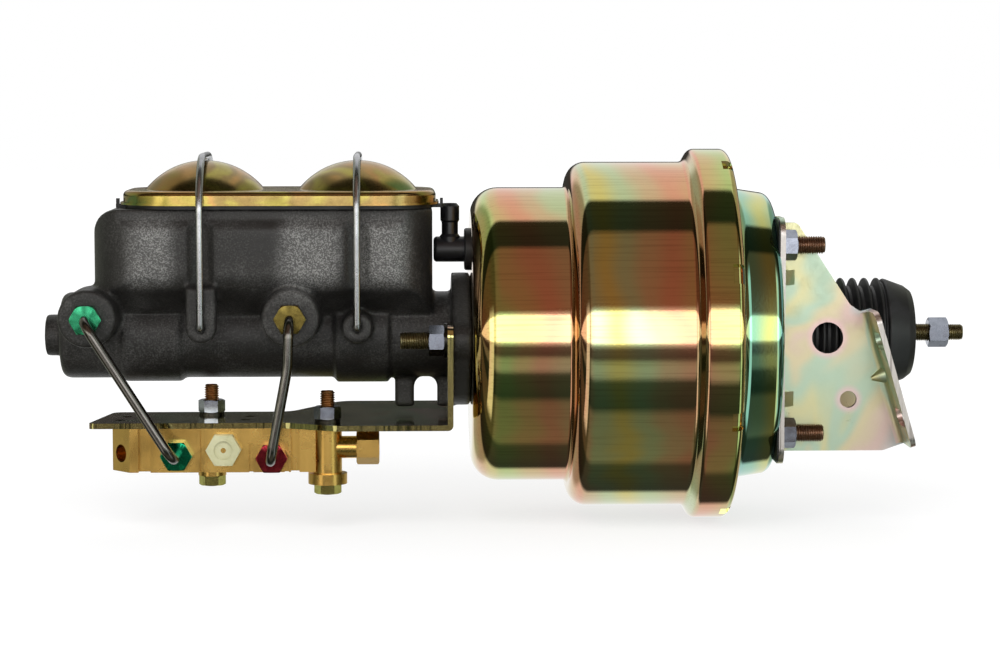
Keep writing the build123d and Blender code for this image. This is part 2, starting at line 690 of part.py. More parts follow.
# Boot: bellows over the neck and the rod, with a tapered end
boot_taper_x = BOOT_END_X - 15.0
with BuildPart() as boot:
    with BuildSketch(Plane.XZ):
        with BuildLine():
            rib_points = [(BOOT_START_X, NECK_R + 3 * RUN), (BOOT_START_X, BOOT_R - BOOT_VALLEY)]
            for rib in range(BOOT_RIBS):
                crest_x = boot_taper_x - (BOOT_RIBS - rib - 0.5) * BOOT_PITCH
                rib_points += [
                    (crest_x - 0.3 * BOOT_PITCH, BOOT_R - BOOT_VALLEY), (crest_x - 0.12 * BOOT_PITCH, BOOT_R),
                    (crest_x + 0.12 * BOOT_PITCH, BOOT_R), (crest_x + 0.3 * BOOT_PITCH, BOOT_R - BOOT_VALLEY),
                ]
            rib_points += [
                (boot_taper_x, BOOT_R), (BOOT_END_X - 2.7, BOOT_END_R + 1.0), (BOOT_END_X, BOOT_END_R - 1.5),
                (BOOT_END_X, ROD_R + REST), (BOOT_END_X - 2 * BOOT_WALL, ROD_R + REST),
                (BOOT_END_X - 2 * BOOT_WALL, BOOT_END_R - BOOT_WALL),
                (boot_taper_x, NECK_R + 3 * RUN), rib_points[0],
            ]
            Polyline(*rib_points)
        make_face()
    revolve(axis=Axis.X)
boot.part.label = "boot"

# Master cylinder casting: tank, barrel, flange, pilot, bosses, lugs and foot web
tank_length = TANK_REAR_X - TANK_FRONT_X
with BuildPart() as master_cylinder_body:
    with BuildSketch(Plane.YZ.offset(TANK_FRONT_X)):
        with BuildLine():
            section = FilletPolyline(
                (0, TANK_FLOOR_Z),
                (TANK_HALF * 0.45, TANK_FLOOR_Z),
                (TANK_HALF, TANK_LOW_Z),
                (TANK_HALF, TANK_BULGE_Z),
                (TANK_NECK_HALF, TANK_BULGE_Z + 5.0),
                (TANK_NECK_HALF, TANK_TOP_Z),
                (0, TANK_TOP_Z),
                radius=[6.0, 12.0, 4.0, 1.5, 0],
            )
            Line(section @ 1, section @ 0)
        make_face()
        mirror(about=Plane.YZ)
    extrude(amount=tank_length)
    with BuildSketch(Plane.XZ.offset(-TANK_HALF)):
        with BuildLine():
            side = FilletPolyline(
                (TANK_FRONT_X, TANK_FLOOR_Z),
                (TANK_FRONT_X, TANK_TOP_Z),
                (TANK_REAR_X, TANK_TOP_Z),
                (TANK_REAR_X, TANK_FLOOR_Z),
                radius=[TANK_SHOULDER, 0],
            )
            Line(side @ 1, side @ 0)
        make_face()
    extrude(amount=2 * TANK_HALF, mode=Mode.INTERSECT)
    with BuildSketch(Plane.XY.offset(TANK_FLOOR_Z)):
        with Locations(((TANK_FRONT_X + TANK_REAR_X) / 2, 0)):
            RectangleRounded(tank_length, 2 * TANK_HALF, COVER_CORNER - 4.0)
    extrude(amount=TANK_TOP_Z - TANK_FLOOR_Z, mode=Mode.INTERSECT)
    # Upright valleys where the bails pass
    for valley_x in (FRONT_BAIL_X, REAR_BAIL_X):
        for side_sign in (1, -1):
            with Locations((valley_x, side_sign * (TANK_HALF + 5.5), TANK_FLOOR_Z)):
                Cylinder(9.0, TANK_BULGE_Z - TANK_FLOOR_Z + 3.0,
                         align=(Align.CENTER, Align.CENTER, Align.MIN), mode=Mode.SUBTRACT)
    # Barrel with its two raised bands and the nose
    with BuildSketch(Plane.XZ):
        with BuildLine():
            barrel = FilletPolyline(
                (BARREL_FRONT_X - NOSE_LENGTH, 0),
                (BARREL_FRONT_X - NOSE_LENGTH, NOSE_R),
                (BARREL_FRONT_X, NOSE_R),
                (BARREL_FRONT_X, BARREL_R),
                (FLANGE_FACE_X, BARREL_R),
                (FLANGE_FACE_X, 0),
                radius=[1.2, 1.5, 5.0, 0],
            )
            Line(barrel @ 1, barrel @ 0)
        make_face()
    revolve(axis=Axis.X)
    for band_x, band_length, band_r in ((-335.7, 31.5, BARREL_R + 2.0), (-221.7, 29.4, BARREL_R + 2.8)):
        with Locations(axial(band_x)):
            Cylinder(band_r, band_length)
    # Flange, pilot and foot web
    with BuildSketch(axial(FLANGE_FACE_X)):
        with Locations((-2.7, 0)):
            Circle(FLANGE_R)
        for ear_y in (FRONT_STUD_Y, -FRONT_STUD_Y):
            with Locations((0, ear_y)):
                Circle(EAR_R)
        make_hull()
        with Locations(*front_stud_points):
            Circle(STUD_R + 4 * RUN, mode=Mode.SUBTRACT)
    extrude(amount=FLANGE_THICKNESS)
    with Locations(axial(FRONT_X)):
        Cylinder(PILOT_R, PILOT_LENGTH, align=(Align.CENTER, Align.CENTER, Align.MIN))
    with BuildSketch(Plane.XZ.offset(-WEB_HALF)):
        with BuildLine():
            web_front_x = FLANGE_FACE_X - 31.1
            Polyline(
                (web_front_x, -BARREL_R + 3), (web_front_x, WEB_BOTTOM_Z), (FLANGE_FACE_X + 1, WEB_BOTTOM_Z),
                (FLANGE_FACE_X + 1, -BARREL_R + 3), (web_front_x, -BARREL_R + 3),
            )
        make_face()
        with Locations((FLANGE_FACE_X - 14.2, WEB_BOTTOM_Z)):
            Rectangle(12.8, 11.0, align=(Align.CENTER, Align.MIN), mode=Mode.SUBTRACT)
        with Locations((FLANGE_FACE_X - 14.2, WEB_BOTTOM_Z + 11.0)):
            Circle(6.4, mode=Mode.SUBTRACT)
    extrude(amount=2 * WEB_HALF)
    # Outlet bosses on the valve side
    for port_x in (FRONT_PORT_X, REAR_PORT_X):
        with Locations(sideways(-PORT_BOSS_Y, port_x, PORT_Z)):
            Cylinder(PORT_BOSS_R, PORT_BOSS_Y - BARREL_R * 0.6,
                     align=(Align.CENTER, Align.CENTER, Align.MAX))
    boss_rims = master_cylinder_body.edges().filter_by_position(Axis.Y, -PORT_BOSS_Y - 1, -PORT_BOSS_Y + 1)
    chamfer(boss_rims.filter_by(GeomType.CIRCLE), length=1.2)
    # Bail lugs on both sides: a tongue in front and a round boss behind
    for side_sign in (1, -1):
        lug_face = Plane.XZ.offset(-side_sign * LUG_FACE_Y)
        with BuildSketch(lug_face):
            with Locations((FRONT_BAIL_X, PIVOT_Z)):
                Circle(LUG_R)
                Rectangle(2 * LUG_R, LUG_TOP, align=(Align.CENTER, Align.MIN))
        extrude(amount=side_sign * LUG_DEPTH)
        with BuildSketch(lug_face):
            with Locations((REAR_BAIL_X, PIVOT_Z)):
                Circle(LUG_R)
        extrude(amount=side_sign * (LUG_FACE_Y - BARREL_R * 0.6))
        with BuildSketch(lug_face):
            with Locations((FRONT_BAIL_X, PIVOT_Z), (REAR_BAIL_X, PIVOT_Z)):
                Circle(WIRE_R + 2 * RUN)
        extrude(amount=side_sign * LUG_THICKNESS, mode=Mode.SUBTRACT)
    # Fluid wells
    well_front_x = COVER_FRONT_X + TANK_WALL
    well_rear_x = TANK_REAR_X - TANK_WALL
    well_half = TANK_NECK_HALF - TANK_WALL
    with BuildSketch(Plane.XY.offset(WELL_FLOOR_Z)):
        for low_x, high_x in ((well_front_x, WELL_SPLIT_X - 3.0), (WELL_SPLIT_X + 3.0, well_rear_x)):
            with Locations(((low_x + high_x) / 2, 0)):
                RectangleRounded(high_x - low_x, 2 * well_half, 14.0)
    extrude(amount=TANK_TOP_Z - WELL_FLOOR_Z, mode=Mode.SUBTRACT)
    # Bore, ring groove, ports and seats
    with Locations(axial(BORE_END_X)):
        Cylinder(CYLINDER_BORE_R, PILOT_END_X - BORE_END_X,
                 align=(Align.CENTER, Align.CENTER, Align.MIN), mode=Mode.SUBTRACT)
    ring_x = PRIMARY_REAR_X + 2.0
    with Locations(axial(ring_x)):
        Cylinder(CYLINDER_BORE_R + RING_WIRE, RING_WIRE + 2 * RUN,
                 align=(Align.CENTER, Align.CENTER, Align.MIN), mode=Mode.SUBTRACT)
    for port_x in (FRONT_PORT_X, REAR_PORT_X):
        with Locations(sideways(-PORT_BOSS_Y, port_x, PORT_Z)):
            Cylinder(PORT_R, PORT_DEPTH, align=(Align.CENTER, Align.CENTER, Align.MAX), mode=Mode.SUBTRACT)
            Cylinder(TUBE_R, PORT_BOSS_Y - 8.0, align=(Align.CENTER, Align.CENTER, Align.MAX),
                     mode=Mode.SUBTRACT)
    with Locations((SECONDARY_FRONT_X - 2.0, 0, 0), (PRIMARY_FRONT_X - 2.0, 0, 0)):
        Cylinder(1.6, WELL_FLOOR_Z + 1.0, align=(Align.CENTER, Align.CENTER, Align.MIN),
                 mode=Mode.SUBTRACT)
master_cylinder_body.part.label = "master_cylinder_body"

# Cover gasket with pull tabs at both ends and on the far side
cover_mid_x = COVER_REAR_X - COVER_LENGTH / 2
with BuildPart() as reservoir_gasket:
    with BuildSketch(Plane.XY.offset(TANK_TOP_Z)):
        with Locations((cover_mid_x, 0)):
            RectangleRounded(COVER_LENGTH - 3.0, 2 * COVER_HALF - 3.0, COVER_CORNER - 1.5)
        for tab_x in (COVER_FRONT_X - 0.5, COVER_REAR_X + 0.5):
            with Locations((tab_x, END_TAB_Y)):
                RectangleRounded(7.0, 7.0, 1.5)
        with Locations((cover_mid_x, COVER_HALF)):
            RectangleRounded(2 * TAB_HALF, 5.6, 1.5)
    extrude(amount=GASKET)
    with BuildSketch(Plane.XY.offset(TANK_TOP_Z + GASKET)):
        with Locations((cover_mid_x, COVER_HALF + COVER_LIP + 1.2)):
            Rectangle(2 * TAB_HALF, 1.6)
        for tab_x in (COVER_FRONT_X - COVER_LIP - 1.5, COVER_REAR_X + COVER_LIP + 1.5):
            with Locations((tab_x, END_TAB_Y)):
                Rectangle(1.6, 4.4)
    extrude(amount=3.0)
reservoir_gasket.part.label = "reservoir_gasket"

# Stamped cover: rim with a lip, flat deck and two domes
dome_sphere_r = (DOME_R**2 + DOME_RISE**2) / (2 * DOME_RISE)
dome_centre_z = COVER_TOP_Z + DOME_RISE - dome_sphere_r
with BuildPart() as reservoir_cover:
    with BuildSketch(Plane.XY.offset(COVER_BOTTOM_Z)):
        with Locations((cover_mid_x, 0)):
            RectangleRounded(COVER_LENGTH, 2 * COVER_HALF, COVER_CORNER)
    extrude(amount=COVER_RIM)
    fillet(reservoir_cover.faces().sort_by(Axis.Z)[-1].edges(), radius=3.0)
    with BuildSketch(Plane.XY.offset(COVER_BOTTOM_Z)):
        with Locations((cover_mid_x, 0)):
            RectangleRounded(COVER_LENGTH + 2 * COVER_LIP, 2 * (COVER_HALF + COVER_LIP), COVER_CORNER + COVER_LIP)
    extrude(amount=COVER_SHEET)
    for dome_x in (FRONT_BAIL_X, REAR_BAIL_X):
        with BuildSketch(Plane.XZ):
            with BuildLine():
                foot_x, foot_z = dome_x + DOME_R, COVER_TOP_Z - COVER_SHEET
                Line((dome_x, foot_z), (foot_x, foot_z))
                Line((foot_x, foot_z), (foot_x, COVER_TOP_Z))
                half_angle = radians(30)
                mid_point = (dome_x + dome_sphere_r * sin(half_angle), dome_centre_z + dome_sphere_r * cos(half_angle))
                ThreePointArc((foot_x, COVER_TOP_Z), mid_point, (dome_x, COVER_TOP_Z + DOME_RISE))
                Line((dome_x, COVER_TOP_Z + DOME_RISE), (dome_x, foot_z))
            make_face()
        revolve(axis=Axis((dome_x, 0, 0), (0, 0, 1)))
    with BuildSketch(Plane.XY.offset(COVER_BOTTOM_Z)):
        with Locations((cover_mid_x, 0)):
            RectangleRounded(
                COVER_LENGTH - 2 * COVER_SHEET, 2 * (COVER_HALF - COVER_SHEET), COVER_CORNER - COVER_SHEET
            )
    extrude(amount=COVER_RIM - COVER_SHEET - 1.8, mode=Mode.SUBTRACT)
    with BuildSketch(Plane.XY.offset(COVER_BOTTOM_Z)):
        with Locations((cover_mid_x, 0)):
            RectangleRounded(COVER_LENGTH - 9.0, 2 * COVER_HALF - 9.0, COVER_CORNER - 4.5)
    extrude(amount=COVER_RIM - COVER_SHEET, mode=Mode.SUBTRACT)
    for dome_x in (FRONT_BAIL_X, REAR_BAIL_X):
        inner_r = dome_sphere_r - COVER_SHEET
        with BuildSketch(Plane.XZ):
            with BuildLine():
                inner_foot_z = COVER_TOP_Z - COVER_SHEET
                inner_foot_x = dome_x + sqrt(inner_r**2 - (inner_foot_z - dome_centre_z)**2)
                mid_point = (dome_x + inner_r * sin(half_angle), dome_centre_z + inner_r * cos(half_angle))
                Line((dome_x, inner_foot_z), (inner_foot_x, inner_foot_z))
                ThreePointArc((inner_foot_x, inner_foot_z), mid_point, (dome_x, dome_centre_z + inner_r))
                Line((dome_x, dome_centre_z + inner_r), (dome_x, inner_foot_z))
            make_face()
        revolve(axis=Axis((dome_x, 0, 0), (0, 0, 1)), mode=Mode.SUBTRACT)
reservoir_cover.part.label = "reservoir_cover"

# Bails: one bent wire each, hooked into the lugs and snapped over a dome
for name, bail_x in (("front_bail", FRONT_BAIL_X), ("rear_bail", REAR_BAIL_X)):
    with BuildPart() as bail:
        with BuildLine() as wire_route:
            FilletPolyline(
                (bail_x, -LUG_FACE_Y + LUG_THICKNESS - RUN, PIVOT_Z),
                (bail_x, -BAIL_HALF, PIVOT_Z),
                (bail_x, -BAIL_HALF, BAIL_TOP_Z),
                (bail_x, BAIL_HALF, BAIL_TOP_Z),
                (bail_x, BAIL_HALF, PIVOT_Z),
                (bail_x, LUG_FACE_Y - LUG_THICKNESS + RUN, PIVOT_Z),
                radius=[WIRE_R + 0.4, BAIL_ROUND, BAIL_ROUND, WIRE_R + 0.4],
            )
        with BuildSketch(Plane(origin=wire_route.line @ 0, z_dir=wire_route.line % 0)):
            Circle(WIRE_R)
        sweep()
    bail.part.label = name
    export_step(bail.part, "parts/" + name + ".step")

# Pistons: lands at both ends and a thin waist, with cups behind the front land
piston_r = CYLINDER_BORE_R - RUN
waist_r = piston_r - PISTON_WAIST
with BuildPart() as primary_piston:
    with Locations(axial(PRIMARY_FRONT_X)):
        Cylinder(waist_r, PRIMARY_LENGTH, align=(Align.CENTER, Align.CENTER, Align.MIN))
        Cylinder(piston_r, LAND, align=(Align.CENTER, Align.CENTER, Align.MIN))
    with Locations(axial(PRIMARY_FRONT_X + LAND + CUP)):
        Cylinder(piston_r, LAND / 2, align=(Align.CENTER, Align.CENTER, Align.MIN))
    with Locations(axial(PRIMARY_REAR_X)):
        Cylinder(piston_r, 2 * LAND, align=(Align.CENTER, Align.CENTER, Align.MAX))
        Cylinder(OUTPUT_ROD_R + REST, 12.0 + REST, align=(Align.CENTER, Align.CENTER, Align.MAX),
                 mode=Mode.SUBTRACT)
primary_piston.part.label = "primary_piston"

with BuildPart() as secondary_piston:
    with Locations(axial(SECONDARY_FRONT_X)):
        Cylinder(waist_r, SECONDARY_LENGTH, align=(Align.CENTER, Align.CENTER, Align.MIN))
        Cylinder(piston_r, LAND, align=(Align.CENTER, Align.CENTER, Align.MIN))
    with Locations(axial(SECONDARY_FRONT_X + LAND + CUP)):
        Cylinder(piston_r, LAND / 2, align=(Align.CENTER, Align.CENTER, Align.MIN))
    with Locations(axial(SECONDARY_REAR_X)):
        Cylinder(piston_r, LAND, align=(Align.CENTER, Align.CENTER, Align.MAX))
    with Locations(axial(SECONDARY_REAR_X - LAND - CUP)):
        Cylinder(piston_r, LAND / 2, align=(Align.CENTER, Align.CENTER, Align.MAX))
secondary_piston.part.label = "secondary_piston"

with BuildPart() as primary_cups:
    with BuildSketch(axial(PRIMARY_FRONT_X + LAND)):
        Circle(piston_r)
        Circle(waist_r, mode=Mode.SUBTRACT)
    extrude(amount=CUP)
primary_cups.part.label = "primary_cups"

with BuildPart() as secondary_cups:
    for cup_x in (SECONDARY_FRONT_X + LAND, SECONDARY_REAR_X - LAND - CUP):
        with BuildSketch(axial(cup_x)):
            Circle(piston_r)
            Circle(waist_r, mode=Mode.SUBTRACT)
        extrude(amount=CUP)
secondary_cups.part.label = "secondary_cups"

spring_mean_r = waist_r - SPRING_WIRE_R / 2
with BuildPart() as primary_spring:
    add(coil(SECONDARY_REAR_X + RUN, PRIMARY_FRONT_X - RUN, spring_mean_r, 1.4, SPRING_TURNS))
primary_spring.part.label = "primary_spring"

with BuildPart() as secondary_spring:
    add(coil(BORE_END_X + RUN, SECONDARY_FRONT_X - RUN, spring_mean_r, 1.4, SPRING_TURNS))
secondary_spring.part.label = "secondary_spring"

with BuildPart() as retaining_ring:
    with BuildSketch(axial(ring_x + RUN)):
        Circle(CYLINDER_BORE_R + RING_WIRE - RUN)
        Circle(CYLINDER_BORE_R - RING_WIRE, mode=Mode.SUBTRACT)
        with Locations((0, -CYLINDER_BORE_R)):
            Rectangle(8.0, 2 * CYLINDER_BORE_R - 6.0, mode=Mode.SUBTRACT)
    extrude(amount=RING_WIRE)
retaining_ring.part.label = "retaining_ring"

# Tube seats in the cylinder's outlets and the four tube nuts
seat_face_y = PORT_BOSS_Y - PORT_DEPTH + SEAT
with BuildPart() as tube_seats:
    with Locations(*[sideways(-seat_face_y, x, PORT_Z) for x in (FRONT_PORT_X, REAR_PORT_X)]):
        Cylinder(PORT_R - RUN, SEAT, align=(Align.CENTER, Align.CENTER, Align.MAX))
        Hole(TUBE_R - TUBE_WALL)
tube_seats.part.label = "tube_seats"

nut_data = {
    "front_upper_tube_nut": (FRONT_PORT_X, PORT_Z, PORT_BOSS_Y, PORT_DEPTH - SEAT, TUBE_NUT_HEAD),
    "rear_upper_tube_nut": (REAR_PORT_X, PORT_Z, PORT_BOSS_Y, PORT_DEPTH - SEAT, TUBE_NUT_HEAD),
    "front_lower_tube_nut": (LOW_FRONT_X, LOW_FRONT_Z, -VALVE_FRONT_Y, PORT_DEPTH - SEAT, LOW_NUT_HEAD),
    "rear_lower_tube_nut": (LOW_REAR_X, LOW_REAR_Z, -VALVE_FRONT_Y, PORT_DEPTH - SEAT, LOW_NUT_HEAD),
}
for name, (nut_x, nut_z, face_y, shank, head) in nut_data.items():
    with BuildPart() as tube_nut:
        with Locations(sideways(-face_y, nut_x, nut_z)):
            add(hex_prism(TUBE_NUT_FLATS, head, TUBE_R + RUN))
            Cylinder(PORT_R - RUN, shank, align=(Align.CENTER, Align.CENTER, Align.MAX))
            Hole(TUBE_R + RUN)
    tube_nut.part.label = name
    export_step(tube_nut.part, "parts/" + name + ".step")

# Brake lines: out of the cylinder, down in front of it and back into the valve
tube_top_y = -(PORT_BOSS_Y - PORT_DEPTH + SEAT)
tube_low_y = VALVE_FRONT_Y + PORT_DEPTH - SEAT
with BuildPart() as front_brake_line:
    add(bent_tube(
        [
            (FRONT_PORT_X, tube_top_y, PORT_Z), (FRONT_PORT_X, -TUBE_PLANE_Y, PORT_Z),
            (LOW_FRONT_X, -TUBE_PLANE_Y, LOW_FRONT_Z), (LOW_FRONT_X, tube_low_y, LOW_FRONT_Z),
        ],
        [TUBE_BEND, TUBE_BEND],
    ))
front_brake_line.part.label = "front_brake_line"

with BuildPart() as rear_brake_line:
    add(bent_tube(
        [
            (REAR_PORT_X, tube_top_y, PORT_Z), (REAR_PORT_X, -TUBE_PLANE_Y, PORT_Z),
            (REAR_PORT_X - 0.8, -TUBE_PLANE_Y, LINE_KINK_Z),
            (LOW_REAR_X, -TUBE_PLANE_Y, LOW_REAR_Z), (LOW_REAR_X, tube_low_y, LOW_REAR_Z),
        ],
        [TUBE_BEND, 60.0, TUBE_BEND],
    ))
rear_brake_line.part.label = "rear_brake_line"

# Valve bracket: flat plate under the cylinder, turned up in front of its flange
with BuildPart() as valve_bracket:
    with BuildSketch(Plane.XY.offset(BRACKET_BOTTOM_Z)):
        with BuildLine():
            plate = FilletPolyline(
                (FLANGE_FACE_X, -BRACKET_HALF),
                (BRACKET_NARROW_X + BRACKET_FLARE, -BRACKET_HALF),
                (BRACKET_NARROW_X, BRACKET_EDGE_Y),
                (BRACKET_FRONT_X, BRACKET_EDGE_Y),
                (BRACKET_FRONT_X + 9.0, BRACKET_BACK_Y),
                (BRACKET_NARROW_X, BRACKET_BACK_Y),
                (BRACKET_NARROW_X + BRACKET_FLARE, BRACKET_HALF),
                (FLANGE_FACE_X, BRACKET_HALF),
                radius=[12.0, 12.0, 3.0, 6.0, 12.0, 12.0],
            )
            Line(plate @ 1, plate @ 0)
        make_face()
        for hole_x, hole_y in ((-352.0, -30.0), (-350.0, -14.0), (-285.0, -30.0), (-283.0, -14.0)):
            with Locations((hole_x, hole_y)):
                Circle(2.6, mode=Mode.SUBTRACT)
        with Locations((RIGHT_BOLT_X, RIGHT_BOLT_Y), (LEFT_BOLT_X, LEFT_BOLT_Y)):
            Circle(BOLT_R + RUN, mode=Mode.SUBTRACT)
    extrude(amount=BRACKET_SHEET)
    with BuildSketch(axial(PLATE_FACE_X)):
        with Locations(((BRACKET_BOTTOM_Z + BRACKET_RISE_Z) / 2, 0)):
            RectangleRounded(BRACKET_RISE_Z - BRACKET_BOTTOM_Z, 2 * BRACKET_HALF, 6.0)
        with Locations((BRACKET_BOTTOM_Z, 0)):
            Rectangle(12.0, 2 * BRACKET_HALF, align=(Align.MIN, Align.CENTER))
        with Locations(*front_stud_points):
            Circle(STUD_R + 4 * RUN, mode=Mode.SUBTRACT)
        Circle(BRACKET_NOTCH_R, mode=Mode.SUBTRACT)
        Rectangle(BRACKET_RISE_Z + 1, 2 * BRACKET_NOTCH_R, align=(Align.MIN, Align.CENTER), mode=Mode.SUBTRACT)
        Rectangle(BRACKET_TOP_Z + 2.0, 2 * WEB_HALF + 4, align=(Align.MAX, Align.CENTER), mode=Mode.SUBTRACT)
        with Locations((WEB_BOTTOM_Z - 1.5, 0)):
            Rectangle(20.0, 2 * WEB_HALF + 4, align=(Align.MIN, Align.CENTER), mode=Mode.SUBTRACT)
    extrude(amount=BRACKET_SHEET)
    bend_edge = valve_bracket.edges().filter_by(Axis.Y).group_by(Axis.Z)[0].sort_by(Axis.X)[-1]
    fillet(bend_edge, radius=BRACKET_SHEET)
valve_bracket.part.label = "valve_bracket"

# Combination valve: brass block with ports, recesses, bolt bosses and one through bore
valve_mid_y = VALVE_FRONT_Y + VALVE_DEPTH / 2
valve_back_y = VALVE_FRONT_Y + VALVE_DEPTH
foot_z = VALVE_BOTTOM_Z - BOSS_FOOT - 1.0
with BuildPart() as valve_body:
    with BuildSketch(Plane.XY.offset(BRACKET_BOTTOM_Z)):
        with BuildLine():
            Polyline(
                (VALVE_LEFT_X, valve_back_y), (VALVE_LEFT_X, VALVE_FRONT_Y + 12.0),
                (VALVE_LEFT_X + VALVE_SLOPE, VALVE_FRONT_Y), (VALVE_RIGHT_X, VALVE_FRONT_Y),
                (VALVE_RIGHT_X, valve_back_y), (VALVE_LEFT_X, valve_back_y),
            )
        make_face()
        with Locations((LEFT_BOLT_X, (valve_back_y + LEFT_BOLT_Y) / 2 - 1)):
            Rectangle(2 * BOSS_R, LEFT_BOLT_Y - valve_back_y + 2)
    extrude(amount=-VALVE_HEIGHT)
    # Grooves and recesses of the front face between the ports
    for recess_x, recess_width, recess_depth in ((-338.0, 6.5, 5.0), (-307.2, 2.0, 2.5), (-257.5, 4.6, 6.0)):
        with Locations((recess_x, VALVE_FRONT_Y, BRACKET_BOTTOM_Z - VALVE_HEIGHT / 2)):
            Box(recess_width, 2 * recess_depth, VALVE_HEIGHT, mode=Mode.SUBTRACT)
    for low_x, low_width in ((-281.0, 2.2), (-262.0, 2.2)):
        with Locations((low_x, VALVE_FRONT_Y, VALVE_BOTTOM_Z)):
            Box(low_width, 6.0, 2 * VALVE_HEIGHT - 16.0, mode=Mode.SUBTRACT)
    for bolt_x, bolt_y in ((RIGHT_BOLT_X, RIGHT_BOLT_Y), (LEFT_BOLT_X, LEFT_BOLT_Y)):
        with Locations((bolt_x, bolt_y, BRACKET_BOTTOM_Z)):
            Cylinder(BOSS_R, BRACKET_BOTTOM_Z - foot_z, align=(Align.CENTER, Align.CENTER, Align.MAX))
    with Locations((RIGHT_BOLT_X, RIGHT_BOLT_Y, foot_z)):
        Cylinder(BOSS_FOOT_R, BOSS_FOOT, align=(Align.CENTER, Align.CENTER, Align.MIN))
    with Locations(axial(VALVE_RIGHT_X - 1, RIGHT_BOLT_Y + 4.0, VALVE_BORE_Z)):
        Cylinder(BOSS_R, RIGHT_BOLT_X - VALVE_RIGHT_X + 1, align=(Align.CENTER, Align.CENTER, Align.MIN))
    with Locations(axial(RIGHT_BOLT_X, RIGHT_BOLT_Y, VALVE_BORE_Z)):
        Cylinder(FITTING_NECK_R, BOSS_R + FITTING_NECK, align=(Align.CENTER, Align.CENTER, Align.MIN))
    with Locations((RIGHT_BOLT_X, RIGHT_BOLT_Y, foot_z), (LEFT_BOLT_X, LEFT_BOLT_Y, foot_z)):
        Cylinder(BOLT_R + RUN, BRACKET_BOTTOM_Z - foot_z, align=(Align.CENTER, Align.CENTER, Align.MIN),
                 mode=Mode.SUBTRACT)
    # Shuttle bore, line ports, switch port and the angled front outlet
    with Locations(axial(VALVE_LEFT_X + 17.0, valve_mid_y + 3.0, VALVE_BORE_Z)):
        Cylinder(VALVE_BORE_R, VALVE_RIGHT_X - VALVE_LEFT_X - 23.0,
                 align=(Align.CENTER, Align.CENTER, Align.MIN), mode=Mode.SUBTRACT)
    for port_x, port_z in ((LOW_FRONT_X, LOW_FRONT_Z), (LOW_REAR_X, LOW_REAR_Z)):
        with Locations(sideways(VALVE_FRONT_Y, port_x, port_z)):
            Cylinder(PORT_R, PORT_DEPTH - SEAT, align=(Align.CENTER, Align.CENTER, Align.MAX),
                     mode=Mode.SUBTRACT)
            Cylinder(TUBE_R - TUBE_WALL, PORT_DEPTH, align=(Align.CENTER, Align.CENTER, Align.MAX),
                     mode=Mode.SUBTRACT)
    with Locations(sideways(VALVE_FRONT_Y, SWITCH_X, SWITCH_Z)):
        Cylinder(PORT_R, PORT_DEPTH - SEAT, align=(Align.CENTER, Align.CENTER, Align.MAX),
                 mode=Mode.SUBTRACT)
    slope_normal = Vector(-12.0, -VALVE_SLOPE, 0).normalized()
    slope_port = Plane(
        origin=(VALVE_LEFT_X + VALVE_SLOPE / 2, VALVE_FRONT_Y + 6.0, VALVE_BORE_Z - 3.0), z_dir=slope_normal
    )
    with Locations(slope_port):
        Cylinder(PORT_R - 0.4, PORT_DEPTH - 2.0, align=(Align.CENTER, Align.CENTER, Align.MAX),
                 mode=Mode.SUBTRACT)
valve_body.part.label = "valve_body"

fitting_x = RIGHT_BOLT_X + BOSS_R + FITTING_NECK
with BuildPart() as valve_end_fitting:
    with Locations(axial(fitting_x, RIGHT_BOLT_Y, VALVE_BORE_Z)):
        add(hex_prism(FITTING_FLATS, FITTING_LENGTH, 0))
    with Locations(axial(fitting_x + FITTING_LENGTH, RIGHT_BOLT_Y, VALVE_BORE_Z)):
        Cylinder(PORT_R, FITTING_LENGTH - 3.0, align=(Align.CENTER, Align.CENTER, Align.MAX),
                 mode=Mode.SUBTRACT)
valve_end_fitting.part.label = "valve_end_fitting"

# Warning switch: moulded hexagon with a recess round one pin
with BuildPart() as warning_switch:
    with Locations(sideways(VALVE_FRONT_Y, SWITCH_X, SWITCH_Z)):
        add(hex_prism(SWITCH_FLATS, SWITCH_HEIGHT, 0))
        Cylinder(PORT_R - RUN, PORT_DEPTH - SEAT - 1.0, align=(Align.CENTER, Align.CENTER, Align.MAX))
    with Locations(sideways(VALVE_FRONT_Y - SWITCH_HEIGHT, SWITCH_X, SWITCH_Z)):
        Cylinder(5.0, 5.0, align=(Align.CENTER, Align.CENTER, Align.MAX), mode=Mode.SUBTRACT)
        Cylinder(TERMINAL_R + RUN, 9.0, align=(Align.CENTER, Align.CENTER, Align.MAX), mode=Mode.SUBTRACT)
warning_switch.part.label = "warning_switch"

with BuildPart() as switch_terminal:
    with Locations(sideways(VALVE_FRONT_Y - SWITCH_HEIGHT + 9.0, SWITCH_X, SWITCH_Z)):
        Cylinder(TERMINAL_R, 8.0, align=(Align.CENTER, Align.CENTER, Align.MIN))
switch_terminal.part.label = "switch_terminal"

# Shuttle and proportioning pistons in the valve's bore
bore_line_y = valve_mid_y + 3.0
with BuildPart() as shuttle_piston:
    with Locations(axial(SWITCH_X, bore_line_y, VALVE_BORE_Z)):
        Cylinder(VALVE_BORE_R - 2.0, SHUTTLE_LENGTH)
    end_land = (SHUTTLE_LENGTH - SHUTTLE_LAND) / 2
    for land_offset in (-end_land, -end_land * 0.3, end_land * 0.3, end_land):
        with Locations(axial(SWITCH_X + land_offset, bore_line_y, VALVE_BORE_Z)):
            Cylinder(VALVE_BORE_R - RUN, SHUTTLE_LAND)
shuttle_piston.part.label = "shuttle_piston"

